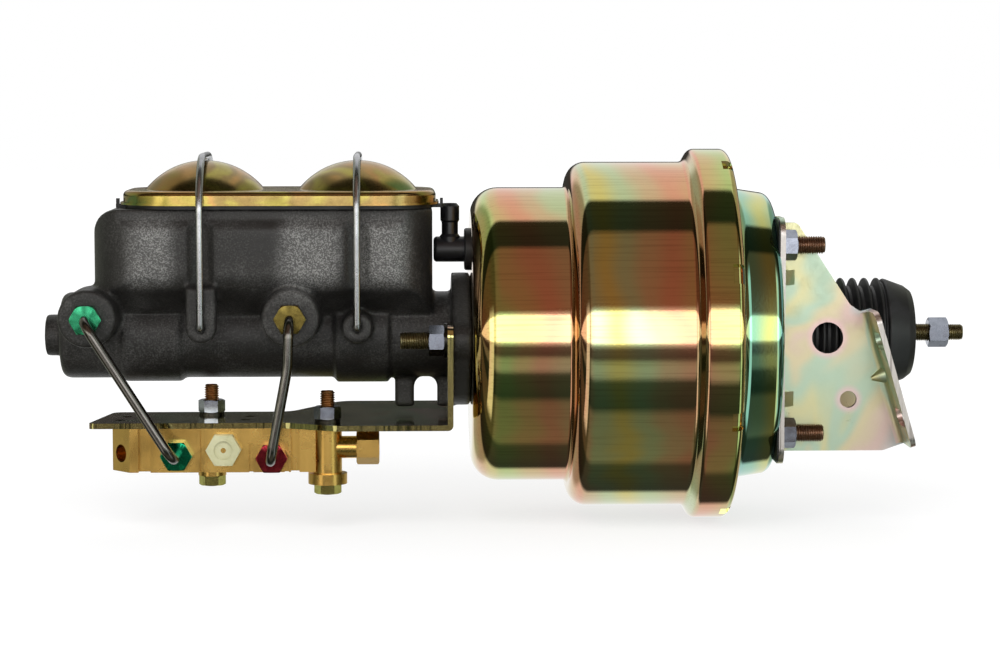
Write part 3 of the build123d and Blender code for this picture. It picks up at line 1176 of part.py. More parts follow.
proportioning_x = SWITCH_X + (SHUTTLE_LENGTH + SHUTTLE_LAND) / 2
with BuildPart() as proportioning_piston:
    with Locations(axial(proportioning_x, bore_line_y, VALVE_BORE_Z)):
        Cylinder(VALVE_BORE_R - RUN, 4.0, align=(Align.CENTER, Align.CENTER, Align.MIN))
        Cylinder(VALVE_BORE_R / 2, 9.0, align=(Align.CENTER, Align.CENTER, Align.MIN))
proportioning_piston.part.label = "proportioning_piston"

valve_bore_end_x = VALVE_RIGHT_X - 6.0
with BuildPart() as proportioning_spring:
    with BuildSketch(axial(proportioning_x + 4.0, bore_line_y, VALVE_BORE_Z)):
        Circle(VALVE_BORE_R - REST)
        Circle(VALVE_BORE_R / 2 + REST, mode=Mode.SUBTRACT)
    extrude(amount=valve_bore_end_x - proportioning_x - 4.0)
proportioning_spring.part.label = "proportioning_spring"

# Bolts, nuts and washers of the valve
with BuildPart() as valve_bolts:
    for bolt_x, bolt_y in ((RIGHT_BOLT_X, RIGHT_BOLT_Y), (LEFT_BOLT_X, LEFT_BOLT_Y)):
        with Locations((bolt_x, bolt_y, foot_z - BOLT_HEAD)):
            add(hex_prism(BOLT_FLATS, BOLT_HEAD, 0))
        with Locations((bolt_x, bolt_y, foot_z)):
            Cylinder(BOLT_R, BOLT_TOP_Z - foot_z, align=(Align.CENTER, Align.CENTER, Align.MIN))
    chamfer(valve_bolts.edges().group_by(Axis.Z)[-1], length=0.8)
valve_bolts.part.label = "valve_bolts"

with BuildPart() as valve_nuts:
    with Locations(
        (RIGHT_BOLT_X, RIGHT_BOLT_Y, BRACKET_TOP_Z + WASHER), (LEFT_BOLT_X, LEFT_BOLT_Y, BRACKET_TOP_Z + WASHER)
    ):
        add(hex_prism(BOLT_FLATS, 6.8, BOLT_R + RUN))
valve_nuts.part.label = "valve_nuts"

with BuildPart() as washers:
    for bolt_x, bolt_y in ((RIGHT_BOLT_X, RIGHT_BOLT_Y), (LEFT_BOLT_X, LEFT_BOLT_Y)):
        with BuildSketch(Plane.XY.offset(BRACKET_TOP_Z)):
            with Locations((bolt_x, bolt_y)):
                Circle(BOLT_FLATS / 2 + 0.6)
                Circle(BOLT_R + RUN, mode=Mode.SUBTRACT)
        extrude(amount=WASHER)
    with BuildSketch(axial(PLATE_FACE_X - WASHER)):
        with Locations(*front_stud_points):
            Circle(WASHER_R)
            Circle(STUD_R + RUN, mode=Mode.SUBTRACT)
    extrude(amount=WASHER)
washers.part.label = "washers"

with BuildPart() as cylinder_nuts:
    with Locations(*[
        axial(PLATE_FACE_X - WASHER - NUT_HEIGHT, y) for y in (FRONT_STUD_Y, -FRONT_STUD_Y)
    ]):
        add(hex_prism(NUT_FLATS, NUT_HEIGHT, STUD_R + RUN))
cylinder_nuts.part.label = "cylinder_nuts"

# Firewall brackets: web along the booster, a flange on its rear face, a sloping flange behind
slope_run = Vector(SLOPE_BOTTOM_X - SLOPE_TOP_X, 0, SLOPE_BOTTOM_Z - SLOPE_TOP_Z)
slope_length = slope_run.length
slope_down = slope_run.normalized()
wall_depth = WALL_OUT_Y - WEB_IN_Y
with BuildPart() as left_firewall_bracket:
    with BuildSketch(Plane.XZ.offset(WEB_IN_Y)):
        with BuildLine():
            web = FilletPolyline(
                (WALL_FACE_X, WEB_TOP_Z),
                (WALL_FACE_X + 12.5, WEB_TOP_Z),
                (42.5, 18.0),
                (48.0, 14.3),
                (SLOPE_TOP_X, SLOPE_TOP_Z),
                (SLOPE_BOTTOM_X, SLOPE_BOTTOM_Z),
                (SLOPE_BOTTOM_X - 14.0, WEB_FOOT_Z),
                (WALL_FACE_X, WEB_FOOT_Z),
                radius=[4.0, 4.0, 3.0, 0, 0, 5.0],
            )
            Line(web @ 1, web @ 0)
        make_face()
        with Locations((30.4, 0)):
            Circle(8.5, mode=Mode.SUBTRACT)
        with Locations((42.0, WEB_FOOT_Z + WEB_HOLE_RISE)):
            Circle(4.55, mode=Mode.SUBTRACT)
    extrude(amount=WALL_SHEET)
    # Flange against the booster
    with BuildSketch(axial(WALL_FACE_X, -WEB_IN_Y - wall_depth / 2)):
        Rectangle(2 * WALL_HALF_Z, wall_depth)
    extrude(amount=WALL_SHEET)
    corner_edges = (
        left_firewall_bracket.edges().filter_by(Axis.X).filter_by_position(Axis.Y, -WALL_OUT_Y - 1, -WALL_OUT_Y + 1)
    )
    fillet(corner_edges, radius=9.0)
    # Sloping flange towards the firewall
    slope_plane = Plane(
        origin=(SLOPE_TOP_X, -WEB_IN_Y, SLOPE_TOP_Z), x_dir=slope_down, z_dir=slope_down.cross(Vector(0, 1, 0))
    )
    with BuildSketch(slope_plane):
        with Locations((slope_length / 2, -wall_depth / 2)):
            RectangleRounded(slope_length, wall_depth, 6.0)
        with Locations((slope_length / 2, -wall_depth / 4)):
            Rectangle(slope_length, wall_depth / 2)
        with Locations(
            (slope_length / 2 - SLOT_SPACING / 2, -wall_depth * 0.6),
            (slope_length / 2 + SLOT_SPACING / 2, -wall_depth * 0.6),
        ):
            SlotOverall(SLOT_LENGTH, SLOT_WIDTH, rotation=90, mode=Mode.SUBTRACT)
    extrude(amount=-WALL_SHEET)
    # Stud holes
    with BuildSketch(axial(WALL_FACE_X)):
        with Locations((REAR_STUD_Z, REAR_STUD_Y), (-REAR_STUD_Z, REAR_STUD_Y)):
            Circle(STUD_R + 2 * RUN)
    extrude(amount=WALL_SHEET, mode=Mode.SUBTRACT)
    # Pressed gussets across the front bend
    for dimple_z in (WALL_HALF_Z / 2, -WALL_HALF_Z / 2):
        with BuildSketch(Plane.XY.offset(dimple_z - DIMPLE_HALF)):
            with BuildLine():
                inner_x, inner_y = WALL_FACE_X + WALL_SHEET, -WEB_IN_Y - WALL_SHEET
                Polyline(
                    (inner_x - 1, inner_y + 1), (inner_x - 1, inner_y - DIMPLE), (inner_x, inner_y - DIMPLE),
                    (inner_x + DIMPLE, inner_y), (inner_x + DIMPLE, inner_y + 1), (inner_x - 1, inner_y + 1),
                )
            make_face()
        extrude(amount=2 * DIMPLE_HALF)
left_firewall_bracket.part.label = "left_firewall_bracket"

with BuildPart() as right_firewall_bracket:
    mirror(left_firewall_bracket.part, about=Plane.XZ)
right_firewall_bracket.part.label = "right_firewall_bracket"

with BuildPart() as firewall_nuts:
    with Locations(*[axial(WALL_FACE_X + WALL_SHEET, y, z) for y, z in rear_stud_places]):
        add(hex_prism(NUT_FLATS, NUT_HEIGHT, STUD_R + RUN))
firewall_nuts.part.label = "firewall_nuts"

for piece in (
    front_shell, rear_shell, divider_plate, divider_seal, front_seal, rear_seal, front_studs, rear_studs,
    rear_gasket, check_valve_grommet, check_valve_body, check_valve_disc, power_piston_hub, front_diaphragm,
    rear_diaphragm, reaction_disc, output_rod, valve_plunger, input_rod, jam_nut, control_poppet, air_filter,
    return_spring, boot, master_cylinder_body, reservoir_gasket, reservoir_cover, primary_piston,
    secondary_piston, primary_cups, secondary_cups, primary_spring, secondary_spring, retaining_ring,
    tube_seats, front_brake_line, rear_brake_line, valve_bracket, valve_body, valve_end_fitting,
    warning_switch, switch_terminal, shuttle_piston, proportioning_piston, proportioning_spring, valve_bolts,
    valve_nuts, washers, cylinder_nuts, left_firewall_bracket, right_firewall_bracket, firewall_nuts,
):
    export_step(piece.part, "parts/" + piece.part.label + ".step")
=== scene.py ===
"""Looks of a dual-diaphragm vacuum brake booster with its master cylinder and valve.

Metres, +X towards the firewall and the pedal, +Z up, the valve and the brake lines on the -Y side.
"""

import logging
import math
from abc import ABC, abstractmethod
from dataclasses import dataclass, field
from enum import Enum
from typing import Any, Optional, Sequence

import bpy
from mathutils import Euler, Matrix, Vector


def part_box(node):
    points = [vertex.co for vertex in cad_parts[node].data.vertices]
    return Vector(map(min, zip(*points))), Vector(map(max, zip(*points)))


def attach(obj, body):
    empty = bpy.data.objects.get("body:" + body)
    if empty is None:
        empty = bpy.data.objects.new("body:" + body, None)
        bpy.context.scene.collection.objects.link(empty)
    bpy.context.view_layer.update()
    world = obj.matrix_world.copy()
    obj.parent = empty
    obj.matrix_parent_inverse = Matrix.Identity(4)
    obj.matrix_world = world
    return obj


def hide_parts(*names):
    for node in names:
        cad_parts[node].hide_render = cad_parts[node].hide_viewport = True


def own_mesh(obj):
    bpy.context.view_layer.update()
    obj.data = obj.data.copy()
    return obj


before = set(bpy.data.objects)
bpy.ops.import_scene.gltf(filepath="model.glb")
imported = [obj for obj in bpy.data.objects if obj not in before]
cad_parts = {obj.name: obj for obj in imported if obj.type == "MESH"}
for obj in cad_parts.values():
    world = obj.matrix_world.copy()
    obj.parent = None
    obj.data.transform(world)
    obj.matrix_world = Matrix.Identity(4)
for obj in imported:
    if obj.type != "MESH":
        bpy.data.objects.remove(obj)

log = logging.getLogger("booster")
Colour = tuple[float, float, float, float]
Point = tuple[float, float, float]
Corner = tuple[float, float, float]


def paint(red: int, green: int, blue: int) -> Colour:
    """Turns a screen colour into the linear colour that a shader takes.

    Args:
        red: Red, 0 to 255.
        green: Green, 0 to 255.
        blue: Blue, 0 to 255.

    Returns:
        The linear colour with full alpha.
    """

    def linear(level: int) -> float:
        """Undoes the screen curve for one channel."""
        share = level / 255
        return share / 12.92 if share <= 0.04045 else ((share + 0.055) / 1.055) ** 2.4

    return (linear(red), linear(green), linear(blue), 1.0)


# Shader bench: material nodes written as expressions


class Signal:
    """One varying number in a shader, on which maths is written as Python expressions."""

    def __init__(self, bench: "Bench", socket: bpy.types.NodeSocket) -> None:
        """Wraps an output socket of the bench's material."""
        self.bench = bench
        self.socket = socket

    def _maths(self, operation: str, first: Any, second: Any) -> "Signal":
        """Adds one Math node and wraps its result."""
        return self.bench.signal("ShaderNodeMath", {"operation": operation}, {0: first, 1: second})

    def __add__(self, other: Any) -> "Signal":
        """Signal plus a number or signal."""
        return self._maths("ADD", self, other)

    def __sub__(self, other: Any) -> "Signal":
        """Signal minus a number or signal."""
        return self._maths("SUBTRACT", self, other)

    def __mul__(self, other: Any) -> "Signal":
        """Signal times a number or signal."""
        return self._maths("MULTIPLY", self, other)

    def __truediv__(self, other: Any) -> "Signal":
        """Signal over a number or signal."""
        return self._maths("DIVIDE", self, other)

    def __abs__(self) -> "Signal":
        """Size of the signal without its sign."""
        return self._maths("ABSOLUTE", self, 0.0)

    def __pow__(self, other: Any) -> "Signal":
        """Signal to a power."""
        return self._maths("POWER", self, other)


class Bench:
    """A material's node tree, with one method that places any node."""

    def __init__(self, tree: bpy.types.NodeTree) -> None:
        """Starts with an empty tree."""
        self.tree = tree
        tree.nodes.clear()

    def place(
        self, kind: str, settings: Optional[dict[str, Any]] = None,
        inputs: Optional[dict[Any, Any]] = None,
    ) -> bpy.types.Node:
        """Adds a node.

        Args:
            kind: The node's type.
            settings: Its settings, or "stops" for a ramp's positions and colours.
            inputs: Values or links of its sockets, by name or number.

        Returns:
            The node.
        """
        node = self.tree.nodes.new(kind)
        for key, value in (settings or {}).items():
            if key == "stops":
                ramp = node.color_ramp
                while len(ramp.elements) < len(value):
                    ramp.elements.new(0.5)
                for element, (position, colour) in zip(ramp.elements, value):
                    element.position = position
                    element.color = colour
            elif key == "blending":
                node.color_ramp.interpolation = value
            else:
                setattr(node, key, value)
        for key, value in (inputs or {}).items():
            socket = node.inputs[key]
            if isinstance(value, Signal):
                self.tree.links.new(value.socket, socket)
            elif isinstance(value, bpy.types.NodeSocket):
                self.tree.links.new(value, socket)
            else:
                socket.default_value = value
        return node

    def signal(
        self, kind: str, settings: Optional[dict[str, Any]] = None,
        inputs: Optional[dict[Any, Any]] = None, output: Any = 0,
    ) -> Signal:
        """Adds a node and wraps one of its outputs as a signal."""
        return Signal(self, self.place(kind, settings, inputs).outputs[output])

    def where(self) -> bpy.types.NodeSocket:
        """The shading point in the piece's own coordinates."""
        return self.place("ShaderNodeTexCoord").outputs["Object"]

    def facing(self) -> bpy.types.NodeSocket:
        """The surface normal in the piece's own coordinates."""
        return self.place("ShaderNodeTexCoord").outputs["Normal"]

    def split(self, vector: bpy.types.NodeSocket) -> tuple[Signal, Signal, Signal]:
        """Takes a vector apart into its three signals."""
        first, second, third = self.place("ShaderNodeSeparateXYZ", None, {0: vector}).outputs
        return Signal(self, first), Signal(self, second), Signal(self, third)

    def stretch(self, vector: bpy.types.NodeSocket, scale: Point) -> bpy.types.NodeSocket:
        """Scales a pattern's coordinates."""
        return self.place("ShaderNodeMapping", None, {"Vector": vector, "Scale": scale}).outputs[0]

    def noise(
        self, vector: bpy.types.NodeSocket, scale: float, detail: float = 3.0, roughness: float = 0.55,
        swirl: float = 0.0,
    ) -> Signal:
        """Cloudy noise from 0 to 1."""
        inputs = {
            "Vector": vector, "Scale": scale, "Detail": detail, "Roughness": roughness,
            "Distortion": swirl,
        }
        return self.signal("ShaderNodeTexNoise", {"noise_dimensions": "3D"}, inputs)

    def cells(self, vector: bpy.types.NodeSocket, scale: float) -> Signal:
        """Distance to the nearest of many scattered points."""
        return self.signal(
            "ShaderNodeTexVoronoi", {"feature": "F1"}, {"Vector": vector, "Scale": scale}, "Distance"
        )

    def scatter(self, vector: bpy.types.NodeSocket, scale: float) -> Signal:
        """A random level for each of many small crumbs."""
        crumbs = self.place(
            "ShaderNodeTexVoronoi", {"feature": "F1"}, {"Vector": vector, "Scale": scale}
        )
        return self.split(crumbs.outputs["Color"])[0]

    def between(
        self, value: Any, low: float, high: float, start: float = 0.0, end: float = 1.0
    ) -> Signal:
        """Maps a range to another, clamped, with soft ends."""
        return self.signal(
            "ShaderNodeMapRange", {"interpolation_type": "SMOOTHSTEP", "clamp": True},
            {"Value": value, "From Min": low, "From Max": high, "To Min": start, "To Max": end},
        )

    def ramp(
        self, value: Any, stops: Sequence[tuple[float, Colour]], blending: str = "EASE"
    ) -> bpy.types.NodeSocket:
        """Turns a signal into a colour by stops."""
        settings = {"stops": stops, "blending": blending}
        return self.place("ShaderNodeValToRGB", settings, {0: value}).outputs[0]

    def mix(self, share: Any, first: Any, second: Any, way: str = "MIX") -> bpy.types.NodeSocket:
        """Mixes two colours."""
        settings = {"data_type": "RGBA", "blend_type": way}
        return self.place("ShaderNodeMix", settings, {0: share, 6: first, 7: second}).outputs[2]

    def bump(self, height: Signal, strength: float, reach: float) -> bpy.types.NodeSocket:
        """Relief for the shader's normal, with its depth in metres."""
        return self.place(
            "ShaderNodeBump", None, {"Strength": strength, "Distance": reach, "Height": height}
        ).outputs[0]

    def surface(self, **inputs: Any) -> None:
        """Ends a material with its surface shader.

        Args:
            **inputs: Shader sockets with _ for each space, as values, signals or sockets.
        """
        named = {key.replace("_", " "): value for key, value in inputs.items()}
        shader = self.place("ShaderNodeBsdfPrincipled", None, named)
        self.place("ShaderNodeOutputMaterial", None, {"Surface": shader.outputs[0]})


# Finishes: the platings, metals, rubbers and plastics


class Grain(Enum):
    """Which way a metal's fine lines run, as the scale of their pattern on each axis."""

    ACROSS = (1.0, 1.0, 0.04)
    EVEN = (1.0, 1.0, 1.0)


@dataclass(frozen=True)
class Finish(ABC):
    """A surface finish that becomes one material.

    Attributes:
        name: The material's name.
        slot: The record's material slot that the finish belongs to; not used.
    """

    name: str
    slot: str

    def material(self) -> bpy.types.Material:
        """Makes the material once and returns it."""
        made = bpy.data.materials.get(self.name)
        if made is None:
            made = bpy.data.materials.new(self.name)
            made.use_nodes = True
            self.lay(Bench(made.node_tree))
        return made

    @abstractmethod
    def lay(self, bench: Bench) -> None:
        """Builds the finish on an empty bench."""


FINE_LINES = 900.0
STAIN_SCALE = 60.0
SPECK_SCALE = 700.0
SHEAR_SCALE = 520.0
ALONG_LINES = 0.02
HALO_BLUR = 0.0045
FLANGE_EDGE = (0.040, 0.042)
LINE_RELIEF = 0.00002
STAIN_BROWN = paint(150, 128, 84)
DRAWN_BROWN = paint(150, 128, 104)
SPECK_BROWN = paint(52, 44, 30)
HALO_PINK = paint(232, 196, 200)
# Painted highlight: lighter grey for the cast iron's lit tank panels
PAINTED_HIGHLIGHT_IRON = paint(120, 119, 117)


@dataclass(frozen=True)
class ChromateFilm(Finish):
    """Zinc plate under a thin chromate film, whose hue drifts with its thickness.

    Attributes:
        hues: Film colours from thin to thick.
        drift: Hue change per metre along the part.
        turn: Hue change where the surface turns towards an end.
        cloud: How much noise moves the hue.
        cloud_scale: Size of the clouds, per metre.
        roughness: Mirror-like at 0.05, satin at 0.3.
        stain: Strength of the brown stains.
        drawn: Strength of the lines that drawing left along the part.
        specks: Strength of the tiny dark specks.
        sheared: Light and dark colour of the striped sheared edges, or none.
        halos: Place across, height and radius of each hole with a pink rim.
    """

    hues: tuple[Colour, ...] = ()
    drift: float = 4.0
    turn: float = 0.3
    cloud: float = 0.5
    cloud_scale: float = 14.0
    roughness: float = 0.07
    stain: float = 0.12
    drawn: float = 0.0
    specks: float = 0.08
    sheared: Optional[tuple[Colour, Colour]] = None
    halos: tuple[tuple[float, float, float], ...] = ()

    def lay(self, bench: Bench) -> None:
        """Builds the drifting film over bright metal."""
        where = bench.where()
        lines = bench.noise(where, FINE_LINES, 3.0, 0.6)
        stain = bench.noise(where, STAIN_SCALE, 4.0, 0.6)
        colour = self.film(bench, where)
        stained = bench.between(stain, 0.45, 0.75, 0.0, self.stain)
        colour = bench.mix(stained, colour, STAIN_BROWN, "MULTIPLY")
        if self.drawn > 0:
            draw = bench.noise(bench.stretch(where, (ALONG_LINES, 1.0, 1.0)), FINE_LINES, 2.0, 0.5)
            share = bench.between(draw, 0.45, 0.8, 0.0, self.drawn)
            colour = bench.mix(share, colour, DRAWN_BROWN, "MULTIPLY")
        colour = self.rims(bench, where, colour)
        speck = bench.between(bench.cells(where, SPECK_SCALE), 0.05, 0.12, self.specks, 0.0)
        colour = bench.mix(speck, colour, SPECK_BROWN)
        if self.sheared:
            colour = self.edges(bench, where, colour)
        shine = stain * 0.5 + lines * 0.5
        bench.surface(
            Base_Color=colour,
            Metallic=1.0,
            Roughness=bench.between(shine, 0.3, 0.7, self.roughness * 0.75, self.roughness * 1.35),
            Normal=bench.bump(lines, 0.3, LINE_RELIEF),
        )

    def film(self, bench: Bench, where: bpy.types.NodeSocket) -> bpy.types.NodeSocket:
        """Colour of the film by its thickness."""
        x, _, _ = bench.split(where)
        nx, _, nz = bench.split(bench.facing())
        clouds = bench.noise(where, self.cloud_scale, 2.0, 0.5, 0.6)
        level = x * self.drift + nx * self.turn + nz * 0.12 + (clouds - 0.5) * (2 * self.cloud)
        phase = bench.signal("ShaderNodeMath", {"operation": "PINGPONG"}, {0: level + 10.0, 1: 1.0})
        last = len(self.hues) - 1
        return bench.ramp(phase, [(index / last, hue) for index, hue in enumerate(self.hues)])

    def rims(self, bench: Bench, where: bpy.types.NodeSocket, colour: Any) -> Any:
        """Adds the pink rim round each hole."""
        x, _, z = bench.split(where)
        for across, height, radius in self.halos:
            away = ((x - across) * (x - across) + (z - height) * (z - height)) ** 0.5
            near = bench.between(away, radius, radius + HALO_BLUR, 0.75, 0.0)
            colour = bench.mix(near, colour, HALO_PINK)
        return colour

    def edges(self, bench: Bench, where: bpy.types.NodeSocket, colour: Any) -> Any:
        """Adds the stripes of the sheared edges on the outer flanges."""
        light, dark = self.sheared
        _, y, _ = bench.split(where)
        _, ny, _ = bench.split(bench.facing())
        stripes = bench.noise(bench.stretch(where, (1.0, 1.0, ALONG_LINES)), SHEAR_SCALE, 3.0, 0.6)
        edge = bench.between(abs(ny), 0.7, 0.85) * bench.between(abs(y), *FLANGE_EDGE)
        return bench.mix(edge, colour, bench.mix(bench.between(stripes, 0.5, 0.72), light, dark))


@dataclass(frozen=True)
class SandCastIron(Finish):
    """Dark oiled grey iron with the grain of the sand mould, with painted glints and painted highlight
    panels on the tank's sides.

    Attributes:
        dark: Colour in the hollows.
        light: Colour on the worn grain.
        glint: Colour of the painted glints, grains painted light as if they catch the light.
        grain_scale: Size of the sand grains, per metre.
        grain_depth: Height of the grains in metres.
        roughness: How dull the iron is.
        highlight_panels: Place along the cylinder and half width of each painted highlight panel of
            the tank.
        tank_middle: Height of the middle of the painted highlight panels.
        tank_wall: Distance of the painted highlight panels from the middle plane, from and to.
    """

    dark: Colour = paint(34, 33, 32)
    light: Colour = paint(82, 81, 79)
    # Painted glint colour, mixed into the base colour
    glint: Colour = paint(176, 176, 174)
    grain_scale: float = 1050.0
    grain_depth: float = 0.00034
    roughness: float = 0.42
    # Painted highlight: places of the lit panels on the tank's sides
    highlight_panels: tuple[tuple[float, float], ...] = (
        (-0.334, 0.011), (-0.249, 0.015), (-0.209, 0.012),
    )
    tank_middle: float = 0.046
    tank_wall: tuple[float, float] = (0.036, 0.041)

    def lay(self, bench: Bench) -> None:
        """Builds the grains, their worn tops, wide dull patches, painted highlight panels and painted
        glints.
        """
        where = bench.where()
        x, y, z = bench.split(where)
        grains = bench.noise(where, self.grain_scale, 4.0, 0.65)
        lumps = bench.noise(where, 260.0, 3.0, 0.5)
        patches = bench.noise(where, 34.0, 3.0, 0.55, 0.4)
        # Painted highlight: a mask of lit panels on the tank's side faces, set by place along the
        # cylinder, height and side, and broken up by the patches
        painted_highlight: Any = 0.0
        for across, half in self.highlight_panels:
            painted_highlight = bench.between(abs(x - across), half * 0.4, half * 1.5, 1.0, 0.0) + painted_highlight
        tall = bench.between(abs(z - self.tank_middle), 0.010, 0.024, 1.0, 0.0)
        outside = bench.between(abs(y), *self.tank_wall)
        painted_highlight = painted_highlight * tall * outside * bench.between(patches, 0.3, 0.55, 0.45, 1.0)
        # Where the painted glints show: strongly on the painted highlight panels, faintly in random
        # patches
        shine = painted_highlight * 0.85 + bench.between(patches, 0.5, 0.8, 0.0, 0.16)
        crumbs = bench.scatter(where, 1900.0)
        # Painted glints: random crumbs of the grain painted light
        painted_glints = bench.between(crumbs * 0.6 + grains * 0.5, 0.5, 0.78, 0.0, 0.6) * shine
        tops = bench.between(grains * 0.7 + patches * 0.35, 0.46, 0.8)
        base = bench.mix(tops, self.dark, self.light)
        # Painted highlight: the lit panels are mixed towards a lighter grey
        base = bench.mix(painted_highlight * 0.3, base, PAINTED_HIGHLIGHT_IRON)
        dull = patches * 0.6 + grains * 0.4
        # The base colour carries the painted highlight and the painted glints
        bench.surface(
            Base_Color=bench.mix(painted_glints, base, self.glint),
            Metallic=bench.between(painted_glints + grains * 0.4, 0.2, 1.0, 0.3, 0.85),
            Roughness=bench.between(dull, 0.3, 0.7, self.roughness - 0.08, self.roughness + 0.14),
            Normal=bench.bump(grains * 0.6 + lumps * 0.5 + crumbs * 0.2, 0.75, self.grain_depth),
        )


@dataclass(frozen=True)
class BareMetal(Finish):
    """A drawn, turned or extruded metal with fine lines and faint stains.

    Attributes:
        clean: Colour of the clean metal.
        stained: Colour of its stains.
        roughness: Mirror-like at 0.1, satin at 0.4.
        grain: Direction of the fine lines.
        line_scale: Number of lines, per metre.
        line_depth: Relief of the lines in metres.
        stain_scale: Size of the stains, per metre.
        contrast: How strongly the stains show.
    """

    clean: Colour = paint(190, 190, 188)
    stained: Colour = paint(120, 120, 118)
    roughness: float = 0.28
    grain: Grain = Grain.EVEN
    line_scale: float = 1400.0
    line_depth: float = 0.00003
    stain_scale: float = 120.0
    contrast: float = 1.0

    def lay(self, bench: Bench) -> None:
        """Builds the lines and stains."""
        where = bench.where()
        lines = bench.noise(bench.stretch(where, self.grain.value), self.line_scale, 3.0, 0.6)
        stains = bench.noise(where, self.stain_scale, 4.0, 0.6, 0.3)
        share = bench.between(stains * 0.65 + lines * 0.35, 0.42, 0.72, 0.0, self.contrast)
        bench.surface(
            Base_Color=bench.mix(share, self.clean, self.stained),
            Metallic=1.0,
            Roughness=bench.between(stains, 0.3, 0.7, self.roughness * 0.8, self.roughness * 1.25),
            Normal=bench.bump(lines, 0.4, self.line_depth),
        )


@dataclass(frozen=True)
class Moulded(Finish):
    """Moulded rubber or plastic with a fine skin and a little dust.

    Attributes:
        body: The material's own colour.
        bloom: Colour where dust or bloom lies.
        roughness: How dull the skin is.
        skin_scale: Size of the skin's texture, per metre.
        skin_depth: Relief of the skin in metres.
    """

    body: Colour = paint(20, 20, 21)
    bloom: Colour = paint(44, 44, 46)
    roughness: float = 0.5
    skin_scale: float = 1600.0
    skin_depth: float = 0.00004

    def lay(self, bench: Bench) -> None:
        """Builds the skin and its bloom."""
        where = bench.where()
        skin = bench.noise(where, self.skin_scale, 3.0, 0.6)
        bloom = bench.noise(where, 70.0, 4.0, 0.6, 0.5)
        share = bench.between(bloom * 0.75 + skin * 0.25, 0.4, 0.75)
        bench.surface(
            Base_Color=bench.mix(share, self.body, self.bloom),
            Metallic=0.0,
            Roughness=bench.between(bloom, 0.3, 0.7, self.roughness * 0.8, self.roughness * 1.2),
            Normal=bench.bump(skin, 0.6, self.skin_depth),
        )


GOLD_HUES = (
    paint(214, 168, 122), paint(212, 196, 128), paint(184, 198, 124), paint(206, 178, 122),
    paint(220, 158, 124), paint(208, 178, 136), paint(188, 200, 152), paint(212, 198, 116),
)
TEAL_HUES = (
    paint(206, 206, 132), paint(150, 200, 176), paint(132, 190, 196), paint(190, 202, 140),
    paint(150, 196, 190),
)
COVER_HUES = (
    paint(178, 158, 84), paint(150, 148, 72), paint(116, 138, 80), paint(164, 148, 78),
    paint(168, 132, 80), paint(144, 122, 76), paint(164, 152, 80),
)
PALE_HUES = (
    paint(214, 210, 166), paint(188, 208, 186), paint(218, 206, 172), paint(220, 194, 186),
    paint(182, 200, 206), paint(212, 212, 160), paint(200, 208, 190), paint(222, 202, 170),
)
PLATE_HUES = (
    paint(150, 146, 96), paint(176, 170, 118), paint(150, 170, 120), paint(170, 140, 120),
    paint(190, 180, 120),
)

BOOSTER_ZINC = ChromateFilm(
    "booster_zinc", "gold_zinc", GOLD_HUES, drift=11.0, turn=0.3, cloud=0.3, cloud_scale=12.0,
    roughness=0.05, stain=0.06, drawn=0.3, specks=0.03,
)
REAR_ZINC = ChromateFilm(
    "rear_shell_zinc", "gold_zinc", TEAL_HUES, drift=24.0, turn=0.6, cloud=0.25, cloud_scale=12.0,
    roughness=0.06, stain=0.06, specks=0.03,
)
COVER_ZINC = ChromateFilm(
    "cover_zinc_film", "cover_zinc", COVER_HUES, drift=4.0, turn=0.3, cloud=0.75, cloud_scale=30.0,
    roughness=0.2, stain=0.3, specks=0.12,
)
WALL_ZINC = ChromateFilm(
    "wall_bracket_zinc", "pale_zinc", PALE_HUES, drift=6.0, turn=0.3, cloud=0.8, cloud_scale=17.0,
    roughness=0.36, stain=0.02, specks=0.02, sheared=(paint(206, 200, 196), paint(140, 132, 128)),
    halos=((0.0304, 0.0, 0.0085), (0.042, -0.0335, 0.00455)),
)
PLATE_ZINC = ChromateFilm(
    "valve_bracket_zinc", "gold_zinc", PLATE_HUES, drift=8.0, turn=0.5, cloud=0.6, cloud_scale=30.0,
    roughness=0.1, stain=0.1, specks=0.05, sheared=(paint(214, 206, 138), paint(84, 92, 52)),
)
INNER_ZINC = ChromateFilm(
    "inner_plate_zinc", "pale_zinc", PALE_HUES, drift=5.0, turn=0.4, cloud_scale=20.0, roughness=0.3,
)
CASTING = SandCastIron("cylinder_iron", "cast_iron")
WIRE_STEEL = BareMetal(
    "bail_wire", "steel", paint(176, 177, 181), paint(128, 128, 132), 0.26,
    line_scale=300.0, line_depth=0.000002, stain_scale=60.0, contrast=0.5,
)
TUBE_STEEL = BareMetal(
    "line_steel", "dark_steel", paint(112, 109, 105), paint(80, 77, 74), 0.22,
    line_scale=300.0, line_depth=0.000002, stain_scale=60.0, contrast=0.6,
)
BRASS = BareMetal(
    "valve_brass", "brass", paint(214, 174, 96), paint(176, 134, 66), 0.24, Grain.ACROSS,
    line_scale=300.0, line_depth=0.000006, stain_scale=40.0, contrast=0.3,
)
STUD_BRONZE = BareMetal(
    "stud_plate", "bronze_zinc", paint(158, 128, 108), paint(104, 80, 66), 0.38,
    line_scale=1500.0, line_depth=0.000005,
)
ROD_BRONZE = BareMetal(
    "rod_plate", "bronze_zinc", paint(150, 140, 108), paint(100, 90, 66), 0.36,
    line_scale=1500.0, line_depth=0.000005,
)
BOLT_BRONZE = BareMetal(
    "bolt_end_plate", "bronze_zinc", paint(184, 136, 88), paint(110, 78, 50), 0.36,
    line_scale=1500.0, line_depth=0.000005,
)
NUT_ZINC = BareMetal(
    "nut_plate", "pale_zinc", paint(158, 163, 176), paint(112, 118, 130), 0.2,
    line_scale=700.0, line_depth=0.000006, stain_scale=200.0, contrast=0.6,
)
